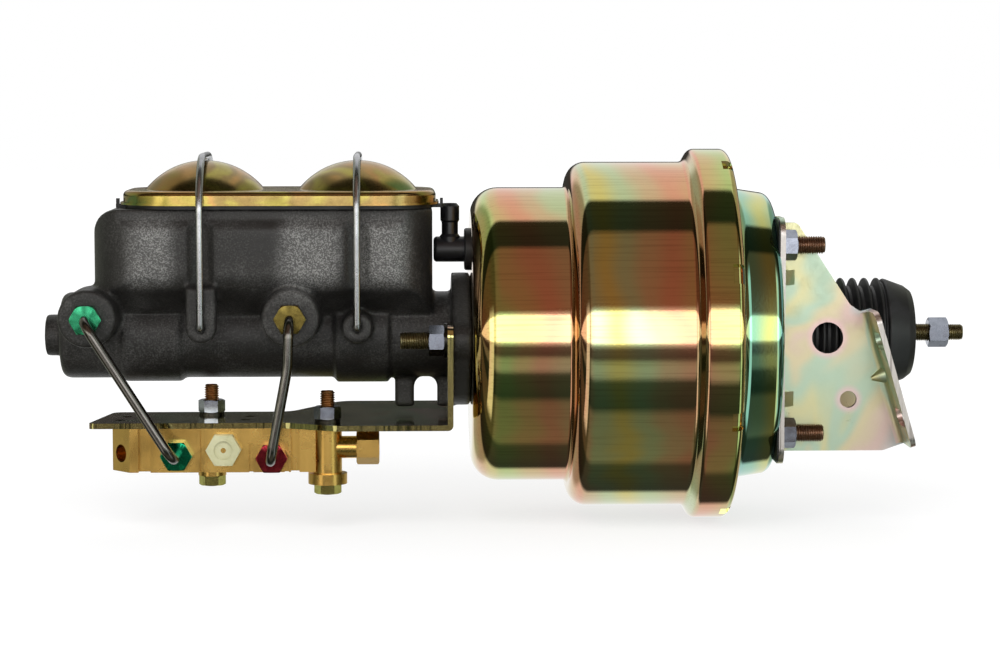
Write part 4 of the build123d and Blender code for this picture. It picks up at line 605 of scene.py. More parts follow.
WASHER_STEEL = BareMetal(
    "washer_steel", "dark_steel", paint(58, 56, 52), paint(30, 29, 27), 0.3, line_scale=700.0,
)
BOLT_ZINC = BareMetal(
    "bolt_plate", "gold_zinc", paint(206, 200, 118), paint(156, 146, 76), 0.13,
    line_scale=700.0, line_depth=0.000006,
)
MINT_ZINC = BareMetal(
    "mint_nut", "mint_zinc", paint(58, 154, 110), paint(20, 88, 60), 0.2,
    line_scale=900.0, line_depth=0.000006,
)
GREEN_ZINC = BareMetal(
    "green_nut", "green_zinc", paint(28, 140, 98), paint(8, 70, 46), 0.14,
    line_scale=900.0, line_depth=0.000006,
)
OLIVE_ZINC = BareMetal(
    "olive_nut", "olive_zinc", paint(112, 98, 50), paint(74, 64, 30), 0.24,
    line_scale=900.0, line_depth=0.000006,
)
MAROON_ZINC = BareMetal(
    "maroon_nut", "maroon_zinc", paint(150, 48, 56), paint(84, 16, 24), 0.16,
    line_scale=900.0, line_depth=0.000006,
)
STEEL = BareMetal("inner_steel", "steel", paint(176, 176, 176), paint(120, 120, 120), 0.3)
SPRING_STEEL = BareMetal("spring_steel", "dark_steel", paint(110, 110, 112), paint(60, 60, 62), 0.35)
ALUMINIUM = BareMetal(
    "piston_aluminium", "aluminium", paint(200, 201, 204), paint(160, 161, 164), 0.32
)
RUBBER = Moulded("black_rubber_skin", "black_rubber", paint(17, 17, 18), paint(34, 34, 36))
PLASTIC = Moulded(
    "black_nylon_skin", "black_plastic", paint(15, 15, 17), paint(30, 30, 34), 0.36, skin_scale=900.0
)
NYLON = Moulded(
    "switch_nylon", "nylon", paint(190, 188, 150), paint(164, 162, 118), 0.38,
    skin_scale=500.0, skin_depth=0.00002,
)
PHENOLIC = Moulded("hub_phenolic", "phenolic", paint(44, 34, 28), paint(66, 52, 42))
FELT = Moulded(
    "filter_felt", "filter_felt", paint(150, 146, 138), paint(112, 108, 102), 0.9,
    skin_scale=900.0, skin_depth=0.0003,
)


def dress(piece: bpy.types.Object, finish: Finish) -> None:
    """Gives a piece or a CAD node its finish.

    Args:
        piece: The object to finish.
        finish: The finish that all of it takes.
    """
    if not piece.material_slots:
        piece.data.materials.append(finish.material())
    for slot in piece.material_slots:
        slot.material = finish.material()


# Modelling: what every sub-assembly uses to make its pieces

SEAM = 0.000004  # points of a CAD mesh that lie closer are one
WELD = 0.000002  # points of a turned mesh that lie closer are one
INCH_PITCH = 0.00127  # 20 threads to the inch
FINE_PITCH = 0.00106  # 24 threads to the inch


def lone(piece: bpy.types.Object) -> None:
    """Selects one piece alone and makes it the active one."""
    bpy.ops.object.select_all(action="DESELECT")
    piece.select_set(True)
    bpy.context.view_layer.objects.active = piece


def modify(piece: bpy.types.Object, kind: str, **settings: Any) -> None:
    """Adds one modifier to a piece and applies it.

    Args:
        piece: The piece.
        kind: The modifier's type.
        **settings: The modifier's settings.
    """
    lone(piece)
    modifier = piece.modifiers.new(kind.lower(), kind)
    for key, value in settings.items():
        setattr(modifier, key, value)
    bpy.ops.object.modifier_apply(modifier=modifier.name)


def smooth(piece: bpy.types.Object, degrees: float = 35.0, weighted: bool = True) -> None:
    """Shades a piece smooth up to an angle, with flat faces kept flat."""
    lone(piece)
    bpy.ops.object.shade_smooth_by_angle(angle=math.radians(degrees), keep_sharp_edges=True)
    if weighted:
        modify(piece, "WEIGHTED_NORMAL", keep_sharp=True, weight=80)


def from_solid(node: str, name: str) -> bpy.types.Object:
    """Copies a CAD node's mesh as a new piece and closes its seams.

    Args:
        node: The CAD node.
        name: The new piece's name.

    Returns:
        The new piece, at the origin.
    """
    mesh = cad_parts[node].data.copy()
    mesh.materials.clear()
    mesh.name = name
    piece = bpy.data.objects.new(name, mesh)
    bpy.context.scene.collection.objects.link(piece)
    lone(piece)
    bpy.ops.mesh.customdata_custom_splitnormals_clear()
    bpy.ops.object.mode_set(mode="EDIT")
    bpy.ops.mesh.select_all(action="SELECT")
    bpy.ops.mesh.remove_doubles(threshold=SEAM)
    bpy.ops.object.mode_set(mode="OBJECT")
    return piece


def trail(name: str, points: Sequence[Vector]) -> bpy.types.Object:
    """Extrudes one point along a row of points, and stays in edit mode.

    Args:
        name: The new piece's name.
        points: The row of points.

    Returns:
        The new piece in edit mode, with its last point selected.
    """
    bpy.ops.object.select_all(action="DESELECT")
    bpy.ops.mesh.primitive_plane_add(size=0.01, location=(0, 0, 0))
    piece = bpy.context.active_object
    piece.name = piece.data.name = name
    bpy.ops.object.mode_set(mode="EDIT")
    bpy.ops.mesh.select_all(action="SELECT")
    bpy.ops.mesh.merge(type="CENTER")
    bpy.ops.transform.translate(value=points[0])
    for before, after in zip(points, points[1:]):
        bpy.ops.mesh.extrude_region_move(TRANSFORM_OT_translate={"value": after - before})
    return piece


def face_outward() -> None:
    """Turns every normal outward and leaves edit mode."""
    bpy.ops.mesh.select_all(action="SELECT")
    bpy.ops.mesh.normals_make_consistent(inside=False)
    bpy.ops.object.mode_set(mode="OBJECT")


def cut(spot: Point, normal: Point, above: bool) -> None:
    """Cuts the piece in edit mode at a plane and closes the cut.

    Args:
        spot: A point of the plane.
        normal: The plane's normal.
        above: Whether what lies on the normal's side is cut away, or else the other side.
    """
    bpy.ops.mesh.select_all(action="SELECT")
    bpy.ops.mesh.bisect(
        plane_co=spot, plane_no=normal, use_fill=True, clear_inner=not above, clear_outer=above
    )


def rounded(corners: Sequence[Corner], segments: int = 8) -> list[tuple[float, float]]:
    """Turns corners with radii into the points of a rounded outline.

    Args:
        corners: Distance along the axis, radius from the axis and corner radius of each corner.
        segments: Number of segments in a full quarter turn.

    Returns:
        Points along the axis and away from it.
    """
    points: list[tuple[float, float]] = []
    for index, (along, away, radius) in enumerate(corners):
        here = Vector((along, away))
        if radius <= 0 or index in (0, len(corners) - 1):
            points.append((along, away))
            continue
        back = (Vector(corners[index - 1][:2]) - here).normalized()
        ahead = (Vector(corners[index + 1][:2]) - here).normalized()
        half = back.angle(ahead) / 2
        reach = radius / math.tan(half)
        centre = here + (back + ahead).normalized() * (radius / math.sin(half))
        start, end = here + back * reach - centre, here + ahead * reach - centre
        sweep = start.angle(end)
        count = max(2, round(segments * sweep / (math.pi / 2)))
        for step in range(count + 1):
            share = step / count
            arm = start * math.sin((1 - share) * sweep) + end * math.sin(share * sweep)
            point = centre + arm / math.sin(sweep)
            points.append((point.x, point.y))
    return points


class Axis(Enum):
    """Axis that an outline is turned about."""

    X = (1.0, 0.0, 0.0)
    Z = (0.0, 0.0, 1.0)

    def spot(self, along: float, away: float) -> Vector:
        """Puts one outline point in space."""
        return Vector((along, 0, away)) if self is Axis.X else Vector((away, 0, along))


def lathe(
    name: str, outline: Sequence[tuple[float, float]], steps: int = 96, axis: Axis = Axis.X
) -> bpy.types.Object:
    """Spins an outline about an axis through the origin.

    Args:
        name: The new piece's name.
        outline: Points along the axis and away from it.
        steps: Number of steps round the axis.
        axis: The axis.

    Returns:
        The turned piece, open where the outline doesn't meet the axis.
    """
    piece = trail(name, [axis.spot(*point) for point in outline])
    bpy.ops.mesh.select_all(action="SELECT")
    bpy.ops.mesh.spin(steps=steps, angle=2 * math.pi, center=(0, 0, 0), axis=axis.value)
    bpy.ops.mesh.select_all(action="SELECT")
    bpy.ops.mesh.remove_doubles(threshold=WELD)
    face_outward()
    return piece


def place_mesh(piece: bpy.types.Object, turn: Matrix, spot: Point) -> None:
    """Turns and moves a piece's mesh, so that its object stays at the origin."""
    piece.data.transform(Matrix.Translation(spot) @ turn.to_4x4())
    piece.data.update()


def join(name: str, pieces: Sequence[bpy.types.Object]) -> bpy.types.Object:
    """Joins pieces into one object under a name."""
    bpy.ops.object.select_all(action="DESELECT")
    for piece in pieces:
        piece.select_set(True)
    bpy.context.view_layer.objects.active = pieces[0]
    if len(pieces) > 1:
        bpy.ops.object.join()
    joined = bpy.context.active_object
    joined.name = joined.data.name = name
    return joined


class Heading(Enum):
    """Direction in which a screw's end points."""

    REARWARD = (0.0, 1.0, 0.0, 90.0)
    FORWARD = (0.0, 1.0, 0.0, -90.0)
    UP = (0.0, 0.0, 1.0, 0.0)

    def matrix(self) -> Matrix:
        """Turn that brings +Z to this heading."""
        x, y, z, degrees = self.value
        return Matrix.Rotation(math.radians(degrees), 3, Vector((x, y, z)))


def thread(
    name: str, radius: float, pitch: float, length: float, heading: Heading, start: Point,
    chamfer: float = 0.001,
) -> bpy.types.Object:
    """Models a threaded rod with a chamfered end.

    Args:
        name: The new piece's name.
        radius: Crest radius.
        pitch: Distance from crest to crest.
        length: Length of the rod.
        heading: Direction from the rod's foot to its end.
        start: The rod's foot.
        chamfer: Length of the end's chamfer.

    Returns:
        The rod in its place.
    """
    depth = 0.58 * pitch
    teeth = math.ceil(length / pitch) + 3
    flank, crest, root = 0.42 * pitch, 0.12 * pitch, 0.04 * pitch
    points = [Vector((radius - depth, 0, -2 * pitch))]
    for _ in range(teeth):
        for outward, upward in ((depth, flank), (0, crest), (-depth, flank), (0, root)):
            points.append(points[-1] + Vector((outward, 0, upward)))
    rod = trail(name, points)
    bpy.ops.object.mode_set(mode="OBJECT")
    modify(
        rod, "SCREW", axis="Z", screw_offset=pitch, angle=2 * math.pi, steps=28, render_steps=28,
        use_merge_vertices=True, merge_threshold=WELD,
    )
    bpy.ops.object.mode_set(mode="EDIT")
    cut((0, 0, 0), (0, 0, 1), above=False)
    cut((0, 0, length), (0, 0, 1), above=True)
    face_outward()
    lowest = radius - depth * 1.1
    for vertex in rod.data.vertices:
        allowed = lowest + (length - vertex.co.z) * depth * 1.1 / chamfer
        reach = math.hypot(vertex.co.x, vertex.co.y)
        if reach > allowed > 0:
            vertex.co.x *= allowed / reach
            vertex.co.y *= allowed / reach
    place_mesh(rod, heading.matrix(), start)
    return rod


def seat(piece: bpy.types.Object, finish: Finish, body: str, *nodes: str) -> None:
    """Finishes a new piece, lets it ride on a body and lets it stand for its CAD nodes.

    Args:
        piece: The piece, in its place.
        finish: Its finish, unless its parts have their own.
        body: The CAD body that carries it.
        *nodes: The CAD nodes that it replaces.
    """
    if not piece.material_slots:
        dress(piece, finish)
    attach(piece, body)
    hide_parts(*nodes)
    log.info("%s rides on %s, %d faces", piece.name, body, len(piece.data.polygons))


# Sub-assemblies: the booster and all that is bolted to it


@dataclass
class BoosterShells:
    """The two stampings of the booster, turned with their real roundings.

    Attributes:
        sheet: Thickness of the steel.
        front: Distance of the front face from the rear face.
        front_radius: Radius of the front chamber.
        front_round: Outer radius of the corner at the front face.
        step: Place of the step between the chambers.
        step_hollow: Radius of the step's hollow.
        step_round: Radius of the step's shoulder.
        rear_radius: Radius of the rear chamber.
        rim_radius: Radius of the rim band.
        rim_front: Front edge of the rim band.
        rim_rear: Rear edge of the rim band.
        rim_round: Radius of the rim band's corners.
        crimp: Width of the band that is crimped.
        lances: Number of pressed-in locks round the rim.
        lance_half: Half the length of a lock along the rim.
        lance_edge: Width of the slope round a lock.
        lance_press: Share of its radius that a pressed-in lock keeps.
        bore: Radius of the hole in the front face.
        wall_radius: Radius of the rear shell's wall where it leaves the flange.
        wall_hollow: Radius of the hollow there.
        face_radius: Radius of the rear face.
        face_round: Radius of the rear face's edge.
        neck_radius: Radius of the neck that carries the boot.
        neck_hollow: Radius of the hollow round the neck.
        neck_end: End of the neck.
    """

    sheet: float = 0.0016
    front: float = -0.1626
    front_radius: float = 0.0806
    front_round: float = 0.015
    step: float = -0.110
    step_hollow: float = 0.0025
    step_round: float = 0.0105
    rear_radius: float = 0.0945
    rim_radius: float = 0.1016
    rim_front: float = -0.042
    rim_rear: float = -0.022
    rim_round: float = 0.004
    crimp: float = 0.0062
    lances: int = 8
    lance_half: float = 0.0054
    lance_edge: float = 0.0006
    lance_press: float = 0.974
    bore: float = 0.0182
    wall_radius: float = 0.0792
    wall_hollow: float = 0.008
    face_radius: float = 0.0756
    face_round: float = 0.004
    neck_radius: float = 0.0254
    neck_hollow: float = 0.002
    neck_end: float = 0.020

    def build(self) -> None:
        """Builds and dresses both shells."""
        self.front_shell()
        self.rear_shell()

    def front_shell(self) -> None:
        """Turns the front shell and presses in its locks."""
        corners = [
            (self.front, self.bore, 0), (self.front, self.front_radius, self.front_round),
            (self.step, self.front_radius, self.step_hollow),
            (self.step, self.rear_radius, self.step_round),
            (self.rim_front - self.rim_round, self.rear_radius, self.rim_round),
            (self.rim_front, self.rim_radius, self.rim_round),
            (self.rim_rear - self.crimp, self.rim_radius, 0),
            (self.rim_rear, self.rim_radius, self.rim_round),
            (self.rim_rear, self.rim_radius - 2 * self.rim_round, 0),
        ]
        shell = lathe("booster_front_shell", rounded(corners, 10), 240)
        self.press_lances(shell)
        self.thicken(shell)
        seat(shell, BOOSTER_ZINC, "housing", "front_shell")

    def press_lances(self, shell: bpy.types.Object) -> None:
        """Presses the locks into the crimped band of the rim."""
        bpy.ops.object.mode_set(mode="EDIT")
        bpy.ops.mesh.select_all(action="DESELECT")
        bpy.ops.object.mode_set(mode="OBJECT")
        pitch = 2 * math.pi / self.lances
        for face in shell.data.polygons:
            middle = face.center
            angle = (math.atan2(middle.y, middle.z) - pitch / 2 + 2 * math.pi) % pitch
            near = min(angle, pitch - angle) * self.rim_radius
            outside = math.hypot(middle.y, middle.z) > self.rim_radius - 0.75 * self.rim_round
            crimped = self.rim_rear - self.crimp < middle.x and outside
            face.select = crimped and near < self.lance_half
        bpy.ops.object.mode_set(mode="EDIT")
        bpy.ops.mesh.inset(thickness=self.lance_edge, use_even_offset=True)
        press = (1, self.lance_press, self.lance_press)
        bpy.ops.transform.resize(value=press, center_override=(0, 0, 0))
        bpy.ops.object.mode_set(mode="OBJECT")

    def thicken(self, shell: bpy.types.Object) -> None:
        """Gives a turned shell the thickness of its sheet, inward."""
        modify(shell, "SOLIDIFY", thickness=self.sheet, offset=-1, use_even_offset=True)
        smooth(shell, 40, weighted=False)

    def rear_shell(self) -> None:
        """Turns the rear shell with its hollow, face and neck."""
        flange = self.rim_rear - self.sheet
        corners = [
            (flange, self.rim_radius - self.rim_round, 0),
            (flange, self.wall_radius, self.wall_hollow),
            (0, self.face_radius, self.face_round), (0, self.neck_radius, self.neck_hollow),
            (self.neck_end, self.neck_radius, 0),
        ]
        shell = lathe("booster_rear_shell", rounded(corners, 10), 192)
        self.thicken(shell)
        seat(shell, REAR_ZINC, "housing", "rear_shell")


@dataclass
class Fasteners:
    """Studs and bolts with real threads, and the plated nuts.

    Attributes:
        stud_radius: Crest radius of the booster's studs.
        front_face: Inner face of the front shell.
        front_stud_y: Half the distance between the front studs.
        front_end: How far the front studs stand out.
        front_head: Radius of the front studs' heads.
        rear_y: Half the distance between the rear studs, across.
        rear_z: Half the distance between the rear studs, up.
        rear_end: Place of the rear studs' ends.
        rear_head: Radius of the rear studs' heads.
        head_height: Height of the studs' heads.
        sink: How deep the studs sit in the shells' sheet.
        bolt_split: Height at which the valve bolts' threads start.
        bolt_spots: Place of each valve bolt, along and across.
        bolt_radius: Crest radius of the valve bolts.
    """

    stud_radius: float = 0.00476
    front_face: float = -0.161
    front_stud_y: float = 0.0429
    front_end: float = 0.0384
    front_head: float = 0.008
    rear_y: float = 0.0413
    rear_z: float = 0.0508
    rear_end: float = 0.027
    rear_head: float = 0.006
    head_height: float = 0.004
    sink: float = 0.0016
    bolt_split: float = -0.0465
    bolt_spots: tuple[tuple[float, float], ...] = ((-0.2402, -0.040), (-0.3045, -0.005))
    bolt_radius: float = 0.00397

    def build(self) -> None:
        """Builds the studs and bolts and dresses the nuts."""
        front = [(self.front_face, side * self.front_stud_y, 0) for side in (1, -1)]
        rear = [
            (-self.sink, side * self.rear_y, level * self.rear_z)
            for side in (1, -1) for level in (1, -1)
        ]
        self.studs("front", front, self.front_end, self.front_head, Heading.FORWARD, ROD_BRONZE)
        self.studs("rear", rear, self.rear_end, self.rear_head, Heading.REARWARD, STUD_BRONZE)
        self.valve_bolts()
        for node in ("firewall_nuts", "cylinder_nuts", "washers", "valve_nuts"):
            nut = from_solid(node, "plated_" + node)
            smooth(nut, 25)
            seat(nut, WASHER_STEEL if node == "washers" else NUT_ZINC, "housing", node)

    def studs(
        self, end: str, feet: Sequence[Point], length: float, head_radius: float, heading: Heading,
        finish: Finish,
    ) -> None:
        """Models the studs of one end of the booster.

        Args:
            end: The end's name, as in the CAD node.
            feet: Foot of each stud.
            length: How far they stand out.
            head_radius: Radius of the heads inside the shell.
            heading: Direction of their ends.
            finish: Their plating.
        """
        back = Heading.REARWARD if heading is Heading.FORWARD else Heading.FORWARD
        whole = length + self.sink
        parts = []
        for foot in feet:
            parts.append(thread("stud", self.stud_radius, INCH_PITCH, whole, heading, foot))
            parts.append(self.head(head_radius, back, foot))
        studs = join(end + "_threaded_studs", parts)
        smooth(studs, 30, weighted=False)
        seat(studs, finish, "housing", end + "_studs")

    def head(self, radius: float, heading: Heading, start: Point) -> bpy.types.Object:
        """Models a round stud head with a rounded rim.

        Args:
            radius: The head's radius.
            heading: Direction from the stud into the booster.
            start: The stud's foot.

        Returns:
            The head in its place.
        """
        top = self.head_height
        corners = [(0, 0, 0), (0, radius, 0.0004), (top, radius, 0.0008), (top, 0, 0)]
        disc = lathe("head", rounded(corners, 4), 40, Axis.Z)
        place_mesh(disc, heading.matrix(), start)
        return disc

    def valve_bolts(self) -> None:
        """Keeps the bolts' heads and gives their ends threads."""
        _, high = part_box("valve_bolts")
        bolts = from_solid("valve_bolts", "valve_bolt_heads")
        bpy.ops.object.mode_set(mode="EDIT")
        cut((0, 0, self.bolt_split), (0, 0, 1), above=True)
        bpy.ops.object.mode_set(mode="OBJECT")
        parts = [bolts]
        length = high.z - self.bolt_split
        for x, y in self.bolt_spots:
            foot = (x, y, self.bolt_split)
            end = thread(
                "bolt_end", self.bolt_radius, INCH_PITCH, length, Heading.UP, foot, chamfer=0.0008
            )
            dress(end, BOLT_BRONZE)
            parts.append(end)
        dress(bolts, BOLT_ZINC)
        whole = join("valve_threaded_bolts", parts)
        smooth(whole, 30, weighted=False)
        seat(whole, BOLT_ZINC, "housing", "valve_bolts")


@dataclass
class MasterCylinder:
    """The iron casting, its cover, gasket and bails.

    Attributes:
        grain: Size of the casting's remeshed faces.
        rounding: Smoothing passes that round the casting's edges.
    """

    grain: float = 0.0013
    rounding: int = 3

    def build(self) -> None:
        """Builds the casting, cover and bails."""
        self.casting()
        self.cover()
        self.bails()

    def casting(self) -> None:
        """Rounds the casting as a sand mould does."""
        iron = from_solid("master_cylinder_body", "cylinder_casting")
        modify(
            iron, "REMESH", mode="VOXEL", voxel_size=self.grain, adaptivity=0.0,
            use_smooth_shade=True,
        )
        modify(iron, "SMOOTH", factor=0.5, iterations=self.rounding)
        seat(iron, CASTING, "housing", "master_cylinder_body")

    def cover(self) -> None:
        """Dresses the stamped cover and its gasket."""
        cover = from_solid("reservoir_cover", "stamped_cover")
        smooth(cover, 30)
        seat(cover, COVER_ZINC, "housing", "reservoir_cover")
        dress(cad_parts["reservoir_gasket"], RUBBER)

    def bails(self) -> None:
        """Dresses the two bails."""
        for node in ("front_bail", "rear_bail"):
            bail = from_solid(node, node + "_wire")
            smooth(bail, 60, weighted=False)
            seat(bail, WIRE_STEEL, node, node)


@dataclass
class CombinationValve:
    """The brass valve on its bracket, with its switch, nuts and lines.

    Attributes:
        nuts: The plating of each tube nut.
        switch: Axis of the warning switch, along and up.
        recess_radius: Radius of the recess in its face.
        recess_depth: Depth that the recess keeps.
        recess_end: Depth at which the CAD's recess ends.
    """

    nuts: dict[str, Finish] = field(default_factory=lambda: {
        "front_upper_tube_nut": MINT_ZINC, "rear_upper_tube_nut": OLIVE_ZINC,
        "front_lower_tube_nut": GREEN_ZINC, "rear_lower_tube_nut": MAROON_ZINC,
    })
    switch: tuple[float, float] = (-0.2955, -0.0577)
    recess_radius: float = 0.0052
    recess_depth: float = 0.0011
    recess_end: float = 0.0095

    def build(self) -> None:
        """Builds the valve's pieces."""
        for node, finish in (
            ("valve_body", BRASS), ("valve_end_fitting", BRASS), ("warning_switch", NYLON),
            ("switch_terminal", BRASS), ("valve_bracket", PLATE_ZINC), *self.nuts.items(),
        ):
            piece = from_solid(node, "fine_" + node)
            if node == "warning_switch":
                self.fill_recess(piece)
            smooth(piece, 28)
            seat(piece, finish, "housing", node)
        for node in ("front_brake_line", "rear_brake_line"):
            line = from_solid(node, "formed_" + node)
            smooth(line, 60, weighted=False)
            seat(line, TUBE_STEEL, "housing", node)

    def fill_recess(self, switch: bpy.types.Object) -> None:
        """Brings the floor of the switch's recess close below its face."""
        low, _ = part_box("warning_switch")
        for vertex in switch.data.vertices:
            reach = math.hypot(vertex.co.x - self.switch[0], vertex.co.z - self.switch[1])
            depth = vertex.co.y - low.y
            if reach < self.recess_radius and 0.001 < depth < self.recess_end:
                vertex.co.y = low.y + self.recess_depth


@dataclass
class FirewallBrackets:
    """The two angled brackets that carry the booster on the firewall.

    Attributes:
        web_out: Distance of the web's outer face from the middle.
        top: Upper end of the inner corner of the rear fold, along and up.
        length: Length of the fold.
        fold: Direction of the fold downwards, along and up.
        cove: Radius of the metal inside the fold.
        cove_top: Distance of its upper end from the fold's.
        cove_foot: Distance of its lower end from the fold's.
        cove_lap: How far it reaches into the sheet.
        dart_drop: Distance of the pressed dart below the fold's upper end.
        dart_radius: Radius of the dart where it meets the flange.
        dart_tip: Radius of its blunt end.
        dart_reach: How far the dart runs out over the web.
        dart_lap: How far it starts inside the flange.
    """

    web_out: float = 0.0338
    top: tuple[float, float] = (0.0513, 0.0150)
    length: float = 0.0752
    fold: tuple[float, float] = (0.2782, -0.9605)
    cove: float = 0.0040
    cove_top: float = 0.0008
    cove_foot: float = 0.0004
    cove_lap: float = 0.0003
    dart_drop: float = 0.0366
    dart_radius: float = 0.0050
    dart_tip: float = 0.0011
    dart_reach: float = 0.0078
    dart_lap: float = 0.0004

    def build(self) -> None:
        """Builds both brackets."""
        for node, side in (("left_firewall_bracket", -1), ("right_firewall_bracket", 1)):
            sheet = from_solid(node, "folded_sheet")
            whole = join("folded_" + node, [sheet, self.round_fold(side), self.press_dart(side)])
            smooth(whole, 32)
            seat(whole, WALL_ZINC, "housing", node)

    def along(self, side: int) -> tuple[Vector, Vector, Vector]:
        """The fold's upper inner corner, its direction and the way forward over the web."""
        down = Vector((self.fold[0], 0, self.fold[1]))
        forward = Vector((self.fold[1], 0, -self.fold[0]))
        return Vector((self.top[0], side * self.web_out, self.top[1])), down, forward

    def round_fold(self, side: int) -> bpy.types.Object:
        """Models the hollow of the bend between the web and the rear flange."""
        corner, down, forward = self.along(side)
        out = Vector((0, side, 0))
        start = corner + down * self.cove_top
        centre = start + (forward + out) * self.cove
        points = [start - (forward + out) * self.cove_lap]
        for step in range(9):
            angle = math.pi / 2 * step / 8
            arm = out * math.cos(angle) + forward * math.sin(angle)
            points.append(centre - arm * self.cove)
        bend = trail("bend", points)
        bpy.ops.mesh.select_all(action="SELECT")
        bpy.ops.mesh.edge_face_add()
        run = down * (self.length - self.cove_top - self.cove_foot)
        bpy.ops.mesh.extrude_region_move(TRANSFORM_OT_translate={"value": run})
        face_outward()
        return bend

    def press_dart(self, side: int) -> bpy.types.Object:
        """Models the dart pressed across the fold to stiffen it."""
        corner, down, forward = self.along(side)
        bpy.ops.object.select_all(action="DESELECT")
        bpy.ops.mesh.primitive_cone_add(
            vertices=64, radius1=self.dart_radius, radius2=self.dart_tip, depth=self.dart_reach
        )
        dart = bpy.context.active_object
        turn = forward.to_track_quat("Z", "Y").to_matrix()
        middle = self.dart_reach / 2 - self.dart_lap
        place_mesh(dart, turn, corner + down * self.dart_drop + forward * middle)
        return dart


@dataclass
class Boot:
    """The rubber bellows round the input rod.

    Attributes:
        start: Foot of the bellows on the shell's neck.
        end: End face of the bellows.
        foot_radius: Inner radius of the foot.
        crest: Radius of the pleats.
        valley: Depth of the pleats.
        pitch: Distance from pleat to pleat.
        pleats: Number of pleats.
        pleat_round: Radius of their crests and roots.
        cup: Length of the plain cup behind the pleats.
        cup_radius: Radius of the cup near its end.
        face_radius: Radius of the end face.
        hole: Radius of the hole for the rod.
        stroke: How far the rod pushes the end in; not used.
    """

    start: float = 0.005
    end: float = 0.0807
    foot_radius: float = 0.02545
    crest: float = 0.0303
    valley: float = 0.0047
    pitch: float = 0.0066
    pleats: int = 9
    pleat_round: float = 0.0007
    cup: float = 0.015
    cup_radius: float = 0.0260
    face_radius: float = 0.0232
    hole: float = 0.0060
    stroke: float = 0.030

    def build(self) -> None:
        """Turns the bellows."""
        taper = self.end - self.cup
        low = self.crest - self.valley
        corners: list[Corner] = [
            (self.start, self.foot_radius, 0), (self.start, low + 0.0004, 0.0003),
        ]
        shares = ((-0.36, low), (-0.08, self.crest), (0.08, self.crest), (0.36, low))
        for pleat in range(self.pleats):
            middle = taper - (self.pleats - pleat - 0.5) * self.pitch
            for share, radius in shares:
                corners.append((middle + share * self.pitch, radius, self.pleat_round))
        corners += [
            (taper - 0.0005, self.crest, 0.0012), (self.end - 0.0037, self.cup_radius, 0.0015),
            (self.end, self.face_radius, 0.001), (self.end, self.hole, 0.0006),
            (self.end - 0.0034, self.hole, 0),
        ]
        boot = lathe("bellows_boot", rounded(corners, 6), 96)
        smooth(boot, 50, weighted=False)
        seat(boot, RUBBER, "housing", "boot")
        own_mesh(boot)


@dataclass
class InputRod:
    """The pushrod that the pedal pulls, with its jam nut.

    Attributes:
        radius: Crest radius of the rod's thread.
        tip_radius: Crest radius beyond the nut.
        thread_start: Where the thread starts.
        nut_end: Rear face of the nut.
        end: The rod's end.
        lap: How far the tip starts inside the nut.
    """

    radius: float = 0.00476
    tip_radius: float = 0.00446
    thread_start: float = 0.082
    nut_end: float = 0.102
    end: float = 0.1105
    lap: float = 0.001

    def build(self) -> None:
        """Builds the rod's thread and nut."""
        split = (self.thread_start, 0, 0)
        rod = from_solid("input_rod", "rod_shank")
        bpy.ops.object.mode_set(mode="EDIT")
        cut(split, (1, 0, 0), above=True)
        bpy.ops.object.mode_set(mode="OBJECT")
        long_end = thread(
            "rod_thread", self.radius, FINE_PITCH, self.nut_end - self.thread_start,
            Heading.REARWARD, split, chamfer=0.0003,
        )
        tip_start = self.nut_end - self.lap
        tip = thread(
            "rod_tip", self.tip_radius, FINE_PITCH, self.end - tip_start, Heading.REARWARD,
            (tip_start, 0, 0),
        )
        whole = join("threaded_input_rod", [rod, long_end, tip])
        smooth(whole, 30, weighted=False)
        seat(whole, ROD_BRONZE, "input", "input_rod")
        nut = from_solid("jam_nut", "plated_jam_nut")
        smooth(nut, 25)
        seat(nut, NUT_ZINC, "input", "jam_nut")


@dataclass
class InnerParts:
    """The parts inside the booster and the cylinder, and the check valve.

    Attributes:
        coils: Each spring that a stroke shortens, the body under its front end, its joint and stroke.
        finishes: The finish of each kept CAD node.
    """

    coils: tuple[tuple[str, str, str, float], ...] = (
        ("return_spring", "housing", "power_slide", 0.030),
        ("primary_spring", "secondary", "primary_slide", 0.015),
        ("secondary_spring", "housing", "secondary_slide", 0.015),
    )
    finishes: dict[str, Finish] = field(default_factory=lambda: {
        "divider_plate": INNER_ZINC, "front_diaphragm_plate": INNER_ZINC,
        "rear_diaphragm_plate": INNER_ZINC, "divider_seal": RUBBER, "front_seal": RUBBER,
        "rear_seal": RUBBER, "front_diaphragm": RUBBER, "rear_diaphragm": RUBBER,
        "rear_gasket": RUBBER, "reaction_disc": RUBBER, "primary_cups": RUBBER,
        "secondary_cups": RUBBER, "control_poppet": RUBBER, "check_valve_disc": RUBBER,
        "check_valve_grommet": RUBBER, "check_valve_body": PLASTIC, "power_piston_hub": PHENOLIC,
        "air_filter": FELT, "output_rod": STEEL, "valve_plunger": STEEL, "retaining_ring": STEEL,
        "tube_seats": BRASS, "primary_piston": ALUMINIUM, "secondary_piston": ALUMINIUM,
        "shuttle_piston": BRASS, "proportioning_piston": STEEL, "proportioning_spring": SPRING_STEEL,
    })

    def build(self) -> None:
        """Gives each kept CAD node its finish and makes the springs."""
        for node, finish in self.finishes.items():
            dress(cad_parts[node], finish)
            log.info("%s keeps its solid", node)
        for node, body, joint, stroke in self.coils:
            self.coil(node, body)

    def coil(self, node: str, body: str) -> None:
        """Makes a spring from its CAD node and lets it ride on the body under its front end.

        Args:
            node: The spring's CAD node.
            body: The body under its front end.
        """
        spring = from_solid(node, "coil_" + node)
        smooth(spring, 32)
        seat(spring, SPRING_STEEL, body, node)
        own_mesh(spring)


# Studio: light, floor, reflections and camera


